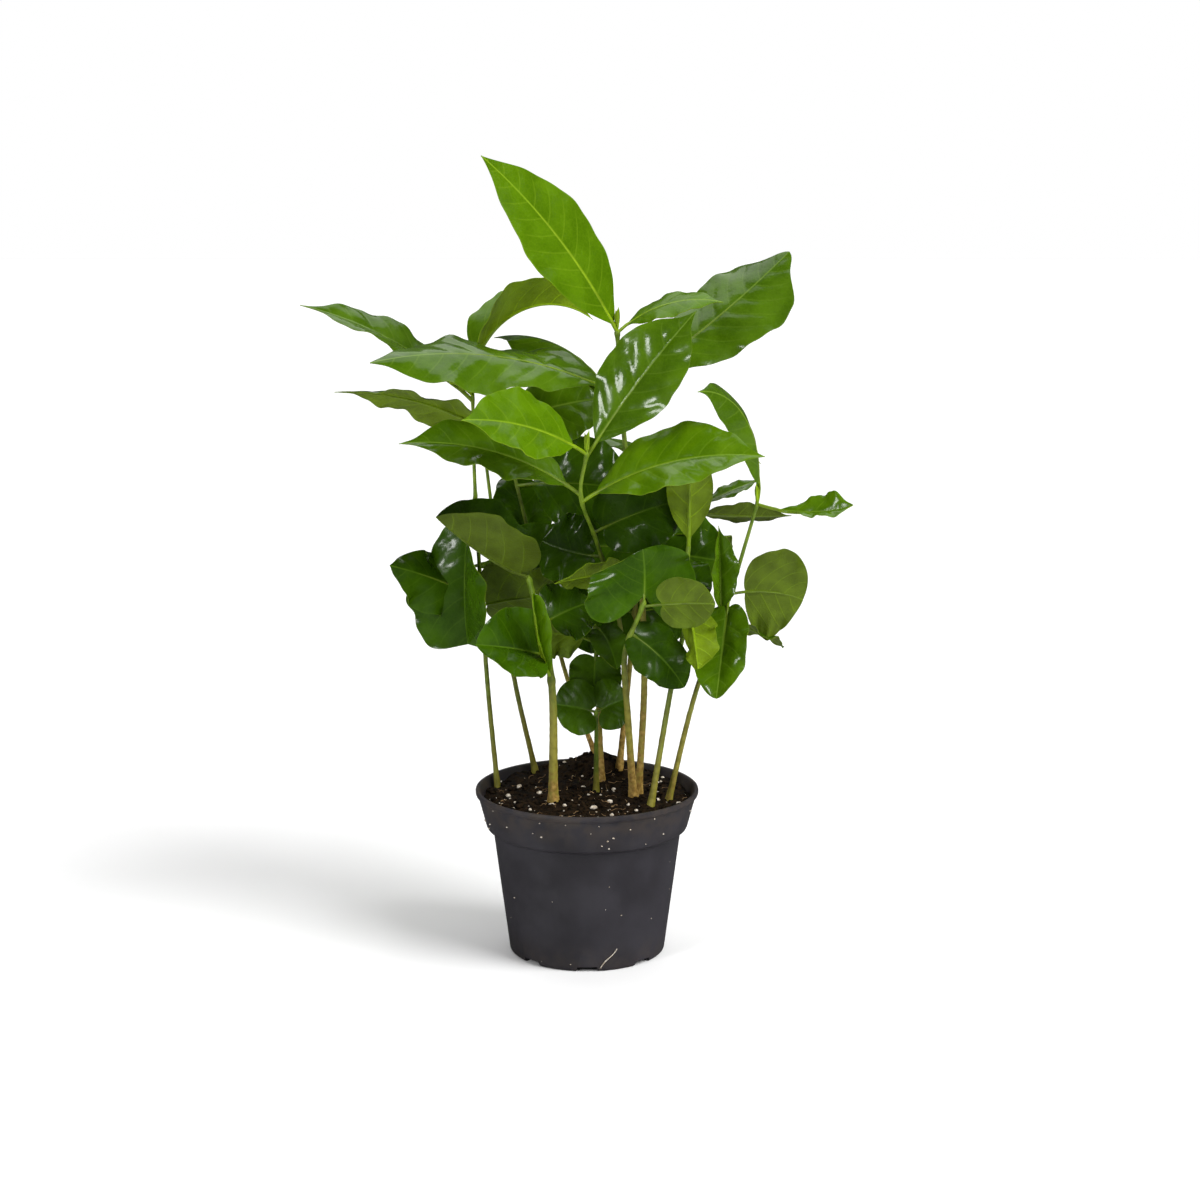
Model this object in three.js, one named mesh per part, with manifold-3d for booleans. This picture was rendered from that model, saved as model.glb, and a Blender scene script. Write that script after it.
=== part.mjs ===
// A potted coffee plant: a dozen seedlings of Coffea arabica grown together in one black nursery pot.
// Millimetres, +Z up. The origin is the centre of the pot's flat underside, and the plant's best side
// looks towards -Y.

import * as THREE from 'three';
import { mergeVertices } from 'three/addons/utils/BufferGeometryUtils.js';
import Module from 'manifold-3d';

const wasm = await Module();
wasm.setup();

// Driving dimensions of the pot
const POT_HEIGHT = 90;
const RIM_RADIUS = 60;
const BAND_TOP_RADIUS = 58.6;
const BAND_FOOT_RADIUS = 54.4;
const BAND_FOOT_HEIGHT = 69;
const WAIST_RADIUS = 50.6;
const WAIST_HEIGHT = 66.5;
const BASE_RADIUS = 42;
const FOOT_CHAMFER = 1.2;
const WALL = 1.6;
const FLOOR = 2;
const POT_SEGMENTS = 40;

// Drain notches round the foot of the pot
const NOTCHES = 8;
const NOTCH_WIDTH = 12;
const NOTCH_HEIGHT = 2.6;
const NOTCH_DEPTH = 5;

// Potting soil, banked up against the back of the pot, with a clump heaped there
const SOIL_LEVEL = 84;
const SOIL_RINGS = 8;
const BANK = { from: 5, across: 50.6, height: 5.5 };
const MOUND = { x: 8, y: 48, height: 15, across: 14, along: 9 };

// Clearance between solids that touch on the real plant
const GAP = 0.3;

// Stems
const STEM_SIDES = 6;
const STEM_STEP = 14;
const TIP_TAPER = 0.45;
const FLARE = 0.4;
const FLARE_HEIGHT = 5;
const BARE_BELOW_LEAVES = 5;
const ABOVE_TOP_LEAF = 2;
const AXIS_SAMPLES = 120;

// Leaves
const BLADE_STATIONS = 7;
const ACROSS_LARGE = [-1, -0.5, 0, 0.5, 1];
const ACROSS_SMALL = [-1, 0, 1];
const LARGE_LEAF = 60;
const STALK_HALF_WIDTH = 1.1;
const TIP_HALF_WIDTH = 0.5;
const THICKNESS_SHARE = 0.012;
const LEAST_THICKNESS = 0.8;
const MIDRIB_STEPS = 60;
const PHASE_STEP = 0.37;
const SIDE_PHASE = 2.1;

// A foliage leaf is long with a drawn-out tip; a seed leaf is as wide as it is long, with a heart base
const FOLIAGE_LEAF = { stalk: 9, bend: 20, roll: 0, twist: 0, fold: 12, curl: 0.1, wave: 0.12, waves: 3,
  belly: 0.46, ends: 2.1, lobe: 0 };
const SEED_LEAF = { stalk: 8, bend: 20, roll: 0, twist: 0, fold: 10, curl: 0.1, wave: 0.16, waves: 2.2,
  belly: 0.47, ends: 1.17, lobe: 0.3 };

// Each seedling: its foot in the pot, its girth, the points its stem passes, and its leaves.
// A leaf leaves the stem at height z. Heading is seen from above (0 to the right, 90 away from the viewer),
// pitch is its climb, bend its droop, roll its turn about the midrib, and fold the lift of its two halves.
const SEEDLINGS = [
  { name: 'tall', foot: [28, 9], girth: 1.9,
    course: [[31, 12, 150], [28, 24, 215], [20, 14, 277], [16, 10, 334]],
    foliage: [
      { z: 334, heading: -160, pitch: 51, length: 114, width: 46,
        bend: 22, roll: 66, fold: 6, wave: 0.05, stalk: 4 },
      { z: 333, heading: -13, pitch: 17, length: 54, width: 27,
        bend: 56, roll: -23, fold: 1, wave: 0.06, stalk: 7 },
      { z: 300, heading: -163, pitch: 9, length: 130, width: 50,
        bend: 40, roll: 25, twist: 5, fold: -10, belly: 0.57 },
      { z: 303, heading: 24, pitch: 35, length: 113, width: 54,
        bend: -11, roll: -33, twist: 18, fold: -6, wave: 0.08, belly: 0.66, ends: 1.8 },
      { z: 284, heading: 153, pitch: 29, length: 89, width: 50,
        bend: 87, roll: -10, twist: 7, fold: -16, curl: 0.14, belly: 0.5 },
      { z: 204, heading: -133, pitch: 2, length: 58, width: 23, bend: 10, roll: -49, twist: 5, fold: 8 },
    ], seed: [] },
  { name: 'centre', foot: [25, 24], girth: 1.6,
    course: [[18, 20, 174], [6, 8, 220], [-3, -14, 250], [0, -25, 274]],
    foliage: [
      { z: 272, heading: 4, pitch: 53, length: 85, width: 46,
        bend: 10, roll: -55, fold: 14, curl: 0.13, wave: 0.06, belly: 0.5 },
      { z: 274, heading: -148, pitch: 17, length: 69, width: 42, bend: 33, roll: 51, fold: 14, wave: 0.08 },
      { z: 251, heading: -172, pitch: 17, length: 92, width: 37,
        bend: 44, roll: 39, fold: 13, curl: 0.05, wave: 0.14 },
      { z: 247, heading: -18, pitch: 16, length: 95, width: 46,
        bend: 40, roll: -41, twist: 7, fold: 16, wave: 0.07, belly: 0.49 },
    ],
    seed: [
      { z: 214, heading: 179, pitch: 15, length: 28, width: 44,
        bend: -24, roll: 61, twist: 17, fold: 23, stalk: 5, belly: 0.53 },
      { z: 228, heading: 17, pitch: 17, length: 47, width: 42, bend: 16, roll: -74, stalk: 6 },
    ] },
  { name: 'far_left', foot: [-49, 20], girth: 1.4,
    course: [[-55, 27, 152], [-60, 28, 248], [-61, 30, 312]],
    foliage: [
      { z: 295, heading: 189, pitch: 30, length: 97, width: 32,
        bend: 32, roll: 22, twist: 5, fold: 20, curl: 0.13, wave: 0.1 },
      { z: 311, heading: 26, pitch: 19, length: 81, width: 48,
        bend: 114, roll: 17, twist: 36, fold: 40, wave: 0.06, belly: 0.39 },
      { z: 298, heading: -115, pitch: 20, length: 28, width: 16, roll: 10 },
    ],
    seed: [
      { z: 245, heading: -115, pitch: -83, length: 68, width: 63,
        bend: 43, roll: -17, twist: 47, fold: 37, curl: 0.11, wave: 0.14, stalk: 15,
        belly: 0.7, ends: 1.09, lobe: 0.28 },
      { z: 188, heading: -145, pitch: 23, length: 54, width: 37,
        bend: 10, roll: 73, twist: -6, fold: -22, belly: 0.4, ends: 1.7, lobe: 0.27 },
      { z: 184, heading: -14, pitch: 8, length: 42, width: 54, roll: 52, stalk: 3 },
    ] },
  { name: 'back_left', foot: [-29, 44], girth: 1.5,
    course: [[-42, 46, 150], [-52, 46, 236], [-55, 46, 262]],
    foliage: [
      { z: 261, heading: 108, pitch: -4, length: 80, width: 42, bend: 50 },
      { z: 217, heading: 100, pitch: -16, length: 66, width: 42, bend: 50 },
    ],
    seed: [
      { z: 199, heading: 124, pitch: -10, length: 40, width: 38, bend: 40 },
      { z: 208, heading: -24, pitch: -4, length: 44, width: 42, roll: -60 },
    ] },
  { name: 'back_middle', foot: [4, 46], girth: 1.4,
    course: [[-12, 50, 142], [-32, 52, 220], [-45, 50, 276]],
    foliage: [
      { z: 270, heading: -163, pitch: 18, length: 92, width: 37,
        bend: 37, roll: -24, twist: 14, fold: -2, belly: 0.43 },
      { z: 280, heading: 10, pitch: 12, length: 56, width: 46, roll: -55 },
      { z: 252, heading: 58, pitch: -2, length: 78, width: 46, bend: 56 },
      { z: 246, heading: -20, pitch: 0, length: 60, width: 56, roll: -60 },
    ],
    seed: [
      { z: 200, heading: 70, pitch: -4, length: 42, width: 42, bend: 40 },
      { z: 214, heading: 120, pitch: 60, length: 34, width: 36 },
    ] },
  { name: 'front_left', foot: [-18, -10], girth: 2.5,
    course: [[-19, -11, 153], [-31, 2, 205]],
    foliage: [],
    seed: [
      { z: 180, heading: 35, pitch: 15, length: 28, width: 35,
        bend: 17, roll: -51, fold: 7, curl: -0.02, stalk: 6, belly: 0.41, lobe: 0.16 },
      { z: 204, heading: -158, pitch: 35, length: 57, width: 56,
        bend: -17, roll: 13, fold: 53, curl: -0.07, wave: 0.05, stalk: 6 },
      { z: 164, heading: -141, pitch: 15, length: 43, width: 47,
        bend: 11, roll: 56, twist: 13, fold: 28, wave: 0.08, stalk: 6, belly: 0.41, lobe: 0.08 },
      { z: 152, heading: -125, pitch: 72, length: 48, width: 19,
        bend: -31, roll: 104, twist: 21, fold: 62, curl: 0.16, wave: 0.08, stalk: 4, belly: 0.67, lobe: 0.1 },
    ] },
  { name: 'small_front', foot: [5, 11], girth: 1.5,
    course: [[5, 9, 131]],
    foliage: [],
    seed: [
      { z: 129, heading: -165, pitch: 14, length: 21, width: 32,
        bend: 10, roll: 58, wave: 0.05, stalk: 3, lobe: 0.4 },
      { z: 129, heading: -6, pitch: 26, length: 16, width: 30,
        bend: 10, roll: -58, wave: 0.05, stalk: 3, lobe: 0.4 },
    ] },
  { name: 'middle', foot: [8, 27], girth: 1.8,
    course: [[5, 28, 160]],
    foliage: [],
    seed: [
      { z: 163, heading: -166, pitch: 13, length: 22, width: 33,
        bend: 30, roll: -69, curl: 0.15, belly: 0.55, lobe: 0.18 },
      { z: 172, heading: -70, pitch: -26, length: 33, width: 20,
        bend: 60, roll: -14, twist: 10, fold: 14, curl: 0.03, stalk: 6, belly: 0.41 },
      { z: 163, heading: -97, pitch: -72, length: 24, width: 31,
        bend: 22, roll: 18, fold: 16, belly: 0.44, lobe: 0.18 },
    ] },
  { name: 'back_right', foot: [18, 37], girth: 1.7,
    course: [[25, 46, 160], [31, 46, 230], [33, 46, 256]],
    foliage: [
      { z: 255, heading: 36, pitch: -2, length: 74, width: 44, bend: 50 },
      { z: 256, heading: 98, pitch: -2, length: 72, width: 44, bend: 56 },
      { z: 218, heading: 36, pitch: -14, length: 60, width: 42, bend: 50 },
      { z: 222, heading: 116, pitch: -14, length: 64, width: 44, bend: 50 },
      { z: 190, heading: 66, pitch: -14, length: 60, width: 44, bend: 50 },
      { z: 212, heading: 172, pitch: -4, length: 50, width: 42, roll: 62, stalk: 3, lobe: 0.3 },
      { z: 208, heading: -8, pitch: -4, length: 42, width: 48, roll: -58 },
    ],
    seed: [
      { z: 176, heading: 172, pitch: 0, length: 44, width: 52, roll: 62, stalk: 2 },
      { z: 176, heading: 0, pitch: 4, length: 36, width: 42, roll: -55, stalk: 2 },
    ] },
  { name: 'front_centre', foot: [25, 2], girth: 2.1,
    course: [[22, -6, 128], [20, -15, 166], [28, -20, 190]],
    foliage: [],
    seed: [
      { z: 195, heading: 64, pitch: 93, length: 26, width: 66,
        bend: -30, roll: -53, twist: -5, fold: -1, wave: 0.08, stalk: 3, belly: 0.4, lobe: 0.48 },
      { z: 193, heading: -20, pitch: 6, length: 29, width: 29,
        bend: 11, roll: 79, fold: 8, wave: 0.06, stalk: 11, belly: 0.44 },
      { z: 178, heading: 1, pitch: -46, length: 39, width: 29,
        bend: 28, roll: -63, fold: 8, stalk: 2, ends: 1.28, lobe: 0.44 },
    ] },
  { name: 'front_right', foot: [34, -17], girth: 1.7,
    course: [[45, -2, 145], [53, 0, 184], [54, 8, 218], [57, 14, 240]],
    foliage: [
      { z: 237, heading: 9, pitch: -3, length: 49, width: 16, bend: -8, roll: 54, fold: 27, stalk: 5 },
      { z: 239, heading: 20, pitch: 20, length: 32, width: 12, bend: 10, roll: -20 },
      { z: 219, heading: -83, pitch: 82, length: 58, width: 26, bend: 8, roll: 10, fold: 18, stalk: 5 },
    ],
    seed: [
      { z: 190, heading: -83, pitch: -38, length: 37, width: 27,
        bend: 30, roll: 135, fold: 38, lobe: 0.26 },
      { z: 184, heading: 95, pitch: 40, length: 34, width: 32 },
    ] },
  { name: 'right', foot: [44, -4], girth: 1.6,
    course: [[58, 1, 141], [75, 8, 189], [85, 4, 225], [90, 0, 245]],
    foliage: [
      { z: 243, heading: -133, pitch: 53, length: 85, width: 30,
        bend: 109, roll: 61, fold: -17, curl: 0.17, wave: 0.05 },
      { z: 244, heading: -24, pitch: 3, length: 43, width: 22,
        bend: -35, roll: -25, twist: -40, fold: 31, stalk: 11, belly: 0.65 },
      { z: 180, heading: 131, pitch: 87, length: 46, width: 24,
        bend: 2, roll: 21, twist: -23, fold: 51, curl: 0.15, stalk: 5 },
    ],
    seed: [
      { z: 192, heading: -103, pitch: -53, length: 53, width: 31, bend: 5, roll: -10, fold: 16, stalk: 6 },
      { z: 194, heading: 3, pitch: -5, length: 32, width: 52,
        bend: 33, roll: 79, fold: -1, wave: 0.07, belly: 0.51, lobe: 0.09 },
      { z: 182, heading: 30, pitch: -28, length: 36, width: 26, bend: 10, fold: 4 },
    ] },
];

// Finishes
const POT_PLASTIC = { color: 0x2e2d33, roughness: 0.5, metalness: 0 };
const PEAT = { color: 0x2a1d14, roughness: 1, metalness: 0 };
const STEM_SKIN = { color: 0x9a8b45, roughness: 0.6, metalness: 0 };
const LEAF_GREEN = { color: 0x3c6e1e, roughness: 0.35, metalness: 0 };

const group = new THREE.Group();

function addNode(name, geometry, finish) {
  const mesh = new THREE.Mesh(geometry, new THREE.MeshStandardMaterial(finish));
  mesh.name = name;
  group.add(mesh);
  return mesh;
}

// Closed geometry to a solid for joining and cutting, and back
function solidOf(geometry) {
  const bare = geometry.clone();
  bare.deleteAttribute('normal');
  bare.deleteAttribute('uv');
  const merged = mergeVertices(bare, 1e-4);
  return new wasm.Manifold(new wasm.Mesh({
    numProp: 3,
    vertProperties: new Float32Array(merged.attributes.position.array),
    triVerts: new Uint32Array(merged.index.array),
  }));
}

function geometryOf(solid) {
  const mesh = solid.getMesh();
  const geometry = new THREE.BufferGeometry();
  geometry.setAttribute('position', new THREE.BufferAttribute(new Float32Array(mesh.vertProperties), 3));
  geometry.setIndex(new THREE.BufferAttribute(new Uint32Array(mesh.triVerts), 1));
  return geometry;
}

// A profile of [radius, height] pairs turned about the vertical axis
function turned(profile) {
  const points = profile.map(([radius, height]) => new THREE.Vector2(radius, height));
  return new THREE.LatheGeometry(points, POT_SEGMENTS).rotateX(Math.PI / 2);
}

// The pot: a tapered body, a flared band with a rolled lip, and drain notches cut through the foot
function potShell() {
  const profile = [
    [0, 0],
    [BASE_RADIUS - FOOT_CHAMFER, 0],
    [BASE_RADIUS, FOOT_CHAMFER],
    [WAIST_RADIUS, WAIST_HEIGHT],
    [WAIST_RADIUS + 0.8, WAIST_HEIGHT + 1.5],
    [BAND_FOOT_RADIUS - 0.4, BAND_FOOT_HEIGHT],
    [BAND_FOOT_RADIUS, BAND_FOOT_HEIGHT + 1.2],
    [BAND_TOP_RADIUS, POT_HEIGHT - 4],
    [RIM_RADIUS, POT_HEIGHT - 3],
    [RIM_RADIUS, POT_HEIGHT - 0.8],
    [RIM_RADIUS - 0.8, POT_HEIGHT],
    [RIM_RADIUS - 2.4, POT_HEIGHT],
    [BAND_TOP_RADIUS - WALL, POT_HEIGHT - 2],
    [BAND_FOOT_RADIUS - WALL, BAND_FOOT_HEIGHT + 2],
    [WAIST_RADIUS - WALL, WAIST_HEIGHT],
    [BASE_RADIUS - WALL, FLOOR],
    [0, FLOOR],
  ];
  const tool = new THREE.BoxGeometry(2 * NOTCH_DEPTH, NOTCH_WIDTH, 2 * NOTCH_HEIGHT);
  let shell = solidOf(turned(profile));
  for (let i = 0; i < NOTCHES; i += 1) {
    const angle = -Math.PI / 2 + (i * 2 * Math.PI) / NOTCHES;
    const cutter = tool.clone().translate(BASE_RADIUS, 0, 0).rotateZ(angle);
    shell = shell.subtract(solidOf(cutter));
  }
  return geometryOf(shell);
}

function bank(y) {
  const share = Math.max(0, (y - BANK.from) / BANK.across);
  return BANK.height * share * share;
}

function mound(x, y) {
  const across = (x - MOUND.x) / MOUND.across;
  const along = (y - MOUND.y) / MOUND.along;
  return MOUND.height * Math.exp(-(across * across + along * along) / 2);
}

// The soil fills the pot, a gap clear of its wall, and its top carries the bank and the mound
function soilPlug() {
  const wallAt = (height) => THREE.MathUtils.mapLinear(height, BAND_FOOT_HEIGHT + 2, POT_HEIGHT - 2,
    BAND_FOOT_RADIUS - WALL, BAND_TOP_RADIUS - WALL) - 2 * GAP;
  const rim = wallAt(SOIL_LEVEL);
  const profile = [
    [0, FLOOR + GAP],
    [BASE_RADIUS - WALL - 2 * GAP, FLOOR + GAP],
    [WAIST_RADIUS - WALL - 2 * GAP, WAIST_HEIGHT + GAP],
    [BAND_FOOT_RADIUS - WALL - 2 * GAP, BAND_FOOT_HEIGHT + 2 + 2 * GAP],
  ];
  for (let ring = 0; ring <= SOIL_RINGS; ring += 1) {
    profile.push([rim * (1 - ring / SOIL_RINGS), SOIL_LEVEL]);
  }
  const geometry = turned(profile);
  const position = geometry.attributes.position;
  for (let i = 0; i < position.count; i += 1) {
    const x = position.getX(i);
    const y = position.getY(i);
    const inside = 1 - (Math.hypot(x, y) / rim) ** 6;
    if (position.getZ(i) > SOIL_LEVEL - GAP) {
      const level = SOIL_LEVEL + bank(y);
      const spread = wallAt(level) / rim;
      position.setXYZ(i, x * spread, y * spread, level + inside * mound(x, y));
    }
  }
  return geometryOf(solidOf(geometry));
}

// Height of the soil's surface under a round foot
function groundUnder(soil, [x, y], radius) {
  const down = new THREE.Vector3(0, 0, -1);
  let top = SOIL_LEVEL;
  for (let i = 0; i <= STEM_SIDES; i += 1) {
    const reach = i === STEM_SIDES ? 0 : radius;
    const angle = (i * 2 * Math.PI) / STEM_SIDES;
    const above = new THREE.Vector3(x, y, 2 * POT_HEIGHT);
    above.x += reach * Math.cos(angle);
    above.y += reach * Math.sin(angle);
    const hits = new THREE.Raycaster(above, down).intersectObject(soil);
    top = hits.length > 0 ? Math.max(top, hits[0].point.z) : top;
  }
  return top;
}

// A stem's centre line, read by height
function stemAxis(row, ground) {
  const points = [[...row.foot, ground], ...row.course].map((point) => new THREE.Vector3(...point));
  const samples = new THREE.CatmullRomCurve3(points, false, 'catmullrom', 0.5).getPoints(AXIS_SAMPLES);
  return (height) => {
    let i = 1;
    while (i < samples.length - 1 && samples[i].z < height) {
      i += 1;
    }
    const share = (height - samples[i - 1].z) / (samples[i].z - samples[i - 1].z);
    return samples[i - 1].clone().lerp(samples[i], share);
  };
}

// Half-thickness of a stem: an even taper to the tip and a flare at the foot
function stemRadius(row, ground, top, height) {
  const rise = height - ground;
  return row.girth * (1 - (TIP_TAPER * rise) / (top - ground) + FLARE * Math.exp(-rise / FLARE_HEIGHT));
}

// A tapering limb between two heights, with a flat cut at both ends
function limb(axis, radiusAt, low, high) {
  const steps = Math.max(2, Math.ceil((high - low) / STEM_STEP));
  const positions = [];
  const faces = [];
  for (let i = 0; i <= steps; i += 1) {
    const height = low + ((high - low) * i) / steps;
    const centre = axis(height);
    for (let k = 0; k < STEM_SIDES; k += 1) {
      const angle = (k * 2 * Math.PI) / STEM_SIDES;
      const radius = radiusAt(height);
      positions.push(centre.x + radius * Math.cos(angle), centre.y + radius * Math.sin(angle), height);
    }
  }
  for (let i = 0; i < steps; i += 1) {
    for (let k = 0; k < STEM_SIDES; k += 1) {
      const a = i * STEM_SIDES + k;
      const b = i * STEM_SIDES + ((k + 1) % STEM_SIDES);
      faces.push(a, b, b + STEM_SIDES, a, b + STEM_SIDES, a + STEM_SIDES);
    }
  }
  const last = steps * STEM_SIDES;
  for (let k = 1; k < STEM_SIDES - 1; k += 1) {
    faces.push(0, k + 1, k, last, last + k, last + k + 1);
  }
  return indexed(positions, faces);
}

function indexed(positions, faces) {
  const geometry = new THREE.BufferGeometry();
  geometry.setAttribute('position', new THREE.Float32BufferAttribute(positions, 3));
  geometry.setIndex(faces);
  return geometry;
}

// Half-width of a blade along its length, 1 at its widest
function outline(share, belly, ends) {
  const rise = ends * belly;
  const fall = ends * (1 - belly);
  return (share / belly) ** rise * ((1 - share) / (1 - belly)) ** fall;
}

// Direction and cross axes of a leaf's midrib at a share of its length
function midribFrame(leaf, share) {
  const heading = THREE.MathUtils.degToRad(leaf.heading);
  const climb = THREE.MathUtils.degToRad(leaf.pitch + leaf.bend * (0.5 - share));
  const along = new THREE.Vector3(Math.cos(climb) * Math.cos(heading), Math.cos(climb) * Math.sin(heading),
    Math.sin(climb));
  const level = new THREE.Vector3(Math.sin(heading), -Math.cos(heading), 0);
  const upward = new THREE.Vector3().crossVectors(level, along);
  const turn = THREE.MathUtils.degToRad(leaf.roll + leaf.twist * (share - 0.5));
  const side = level.clone().multiplyScalar(Math.cos(turn)).addScaledVector(upward, Math.sin(turn));
  const face = upward.clone().multiplyScalar(Math.cos(turn)).addScaledVector(level, -Math.sin(turn));
  return { along, side, face };
}

// Points along the midrib, from the middle of the stem to the leaf's tip
function midrib(root, leaf) {
  const total = leaf.stalk + leaf.length;
  const points = [root.clone()];
  for (let i = 0; i < MIDRIB_STEPS; i += 1) {
    const { along } = midribFrame(leaf, (i + 0.5) / MIDRIB_STEPS);
    points.push(points[i].clone().addScaledVector(along, total / MIDRIB_STEPS));
  }
  return (share) => {
    const place = share * MIDRIB_STEPS;
    const i = Math.min(MIDRIB_STEPS - 1, Math.floor(place));
    return points[i].clone().lerp(points[i + 1], place - i);
  };
}

// Shares of the whole leaf at which its sections lie: root, mid-stalk, then the blade
function sections(leaf) {
  const total = leaf.stalk + leaf.length;
  const shares = [0, (0.5 * leaf.stalk) / total];
  for (let i = 0; i < BLADE_STATIONS; i += 1) {
    shares.push((leaf.stalk + (leaf.length * i) / (BLADE_STATIONS - 1)) / total);
  }
  return shares;
}

// One leaf as a closed strip of even thickness: stalk and blade in one, folded, curled and waved
function leafStrip(root, leaf) {
  const total = leaf.stalk + leaf.length;
  const thickness = Math.max(LEAST_THICKNESS, THICKNESS_SHARE * leaf.length);
  const fold = THREE.MathUtils.degToRad(leaf.fold);
  const centre = midrib(root, leaf);
  const rows = sections(leaf);
  const columns = leaf.length > LARGE_LEAF ? ACROSS_LARGE : ACROSS_SMALL;
  const upper = [];
  const lower = [];
  for (const share of rows) {
    const { along, side, face } = midribFrame(leaf, share);
    const blade = THREE.MathUtils.clamp((share * total - leaf.stalk) / leaf.length, 0, 1);
    const width = outline(blade, leaf.belly, leaf.ends) * leaf.width * 0.5;
    const half = Math.max(width, blade < 0.5 ? STALK_HALF_WIDTH : TIP_HALF_WIDTH);
    const setBack = leaf.lobe * 2 * width * (1 - blade) ** 3;
    for (const across of columns) {
      const way = Math.sign(across);
      const reach = Math.abs(across);
      const phase = PHASE_STEP * (leaf.z + leaf.heading) + (across < 0 ? 0 : SIDE_PHASE);
      const ripple = leaf.wave * reach * reach * Math.sin(2 * Math.PI * leaf.waves * blade + phase);
      const lift = half * (reach * Math.sin(fold) - leaf.curl * reach * reach + ripple);
      const middle = centre(share)
        .addScaledVector(side, half * across * Math.cos(fold))
        .addScaledVector(face, lift)
        .addScaledVector(along, -setBack * reach ** 1.5);
      const outward = way === 0
        ? face.clone().divideScalar(Math.cos(fold))
        : face.clone().multiplyScalar(Math.cos(fold)).addScaledVector(side, -way * Math.sin(fold));
      upper.push(middle.clone().addScaledVector(outward, thickness / 2));
      lower.push(middle.clone().addScaledVector(outward, -thickness / 2));
    }
  }
  return closedStrip(upper, lower, rows.length, columns.length);
}

// Upper and lower sheets of points joined round their border into one closed body. Both sheets are parted
// along the same diagonals, which run inward from the border on either side of the midrib.
function closedStrip(upper, lower, rows, columns) {
  const positions = [...upper, ...lower].flatMap((point) => point.toArray());
  const under = upper.length;
  const faces = [];
  const quad = (a, b, c, d) => faces.push(a, b, c, a, c, d);
  const at = (row, column) => row * columns + column;
  for (let i = 0; i < rows - 1; i += 1) {
    for (let j = 0; j < columns - 1; j += 1) {
      const square = [at(i, j), at(i, j + 1), at(i + 1, j + 1), at(i + 1, j)];
      const [a, b, c, d] = 2 * j < columns - 1 ? square : [...square.slice(1), square[0]];
      quad(a, b, c, d);
      quad(a + under, d + under, c + under, b + under);
    }
    quad(at(i + 1, 0), at(i + 1, 0) + under, at(i, 0) + under, at(i, 0));
    const last = columns - 1;
    quad(at(i, last), at(i, last) + under, at(i + 1, last) + under, at(i + 1, last));
  }
  for (let j = 0; j < columns - 1; j += 1) {
    quad(at(0, j), at(0, j) + under, at(0, j + 1) + under, at(0, j + 1));
    quad(at(rows - 1, j + 1), at(rows - 1, j + 1) + under, at(rows - 1, j) + under, at(rows - 1, j));
  }
  return indexed(positions, faces);
}

// One seedling: its bare stem, and above it the leafy shoot with every leaf sunk into the stem
function addSeedling(row, soil) {
  const leaves = [
    ...row.foliage.map((leaf) => ({ ...FOLIAGE_LEAF, ...leaf })),
    ...row.seed.map((leaf) => ({ ...SEED_LEAF, ...leaf })),
  ];
  const heights = leaves.map((leaf) => leaf.z);
  const ground = groundUnder(soil, row.foot, row.girth * (1 + FLARE)) + GAP;
  const top = Math.max(...heights) + ABOVE_TOP_LEAF;
  const fork = Math.min(...heights) - BARE_BELOW_LEAVES;
  const axis = stemAxis(row, ground);
  const radiusAt = (height) => stemRadius(row, ground, top, height);
  addNode(`stem_${row.name}`, limb(axis, radiusAt, ground, fork), STEM_SKIN);
  let shoot = solidOf(limb(axis, radiusAt, fork + GAP, top));
  for (const leaf of leaves) {
    shoot = shoot.add(solidOf(leafStrip(axis(leaf.z), leaf)));
  }
  addNode(`leaves_${row.name}`, geometryOf(shoot), LEAF_GREEN);
}

addNode('pot', potShell(), POT_PLASTIC);
const soil = addNode('soil', soilPlug(), PEAT);
for (const row of SEEDLINGS) {
  addSeedling(row, soil);
}

export default group;
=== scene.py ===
# %% [markdown]
# # A potted coffee plant
# A dozen coffee seedlings grow together in one black nursery pot. The pot is thin moulded plastic, the
# soil is dark peat with white perlite, the stems are woody at the foot and green above, and the leaves
# are thick, waxy and quilted between their veins. The solids of the part are loaded first as a fixed
# frame. Every finer piece below is built in the same metres and in the same place, so nothing needs
# fitting afterwards.

# %% Load the frame
import bmesh
import bpy
import numpy as np
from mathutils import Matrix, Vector, noise


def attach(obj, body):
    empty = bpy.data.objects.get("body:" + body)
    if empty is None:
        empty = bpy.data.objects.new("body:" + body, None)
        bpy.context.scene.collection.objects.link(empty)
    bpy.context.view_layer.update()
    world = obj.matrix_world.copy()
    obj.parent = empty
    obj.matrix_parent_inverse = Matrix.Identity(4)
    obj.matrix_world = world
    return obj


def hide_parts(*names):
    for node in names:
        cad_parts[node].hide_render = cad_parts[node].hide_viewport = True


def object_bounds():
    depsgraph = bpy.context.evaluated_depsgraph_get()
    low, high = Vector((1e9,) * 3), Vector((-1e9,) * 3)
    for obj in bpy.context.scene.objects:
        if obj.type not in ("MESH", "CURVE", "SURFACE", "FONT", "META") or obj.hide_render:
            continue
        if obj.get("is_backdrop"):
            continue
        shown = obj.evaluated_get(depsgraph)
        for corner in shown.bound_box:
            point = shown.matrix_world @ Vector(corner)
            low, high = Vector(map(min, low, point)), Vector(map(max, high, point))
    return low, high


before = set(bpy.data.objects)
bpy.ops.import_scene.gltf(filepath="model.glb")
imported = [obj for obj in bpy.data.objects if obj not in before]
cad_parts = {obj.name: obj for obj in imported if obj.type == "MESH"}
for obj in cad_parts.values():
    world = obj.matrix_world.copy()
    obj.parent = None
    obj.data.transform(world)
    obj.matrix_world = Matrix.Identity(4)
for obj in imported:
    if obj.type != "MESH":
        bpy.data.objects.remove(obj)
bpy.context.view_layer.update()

MM = 0.001
scene = bpy.context.scene

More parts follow.
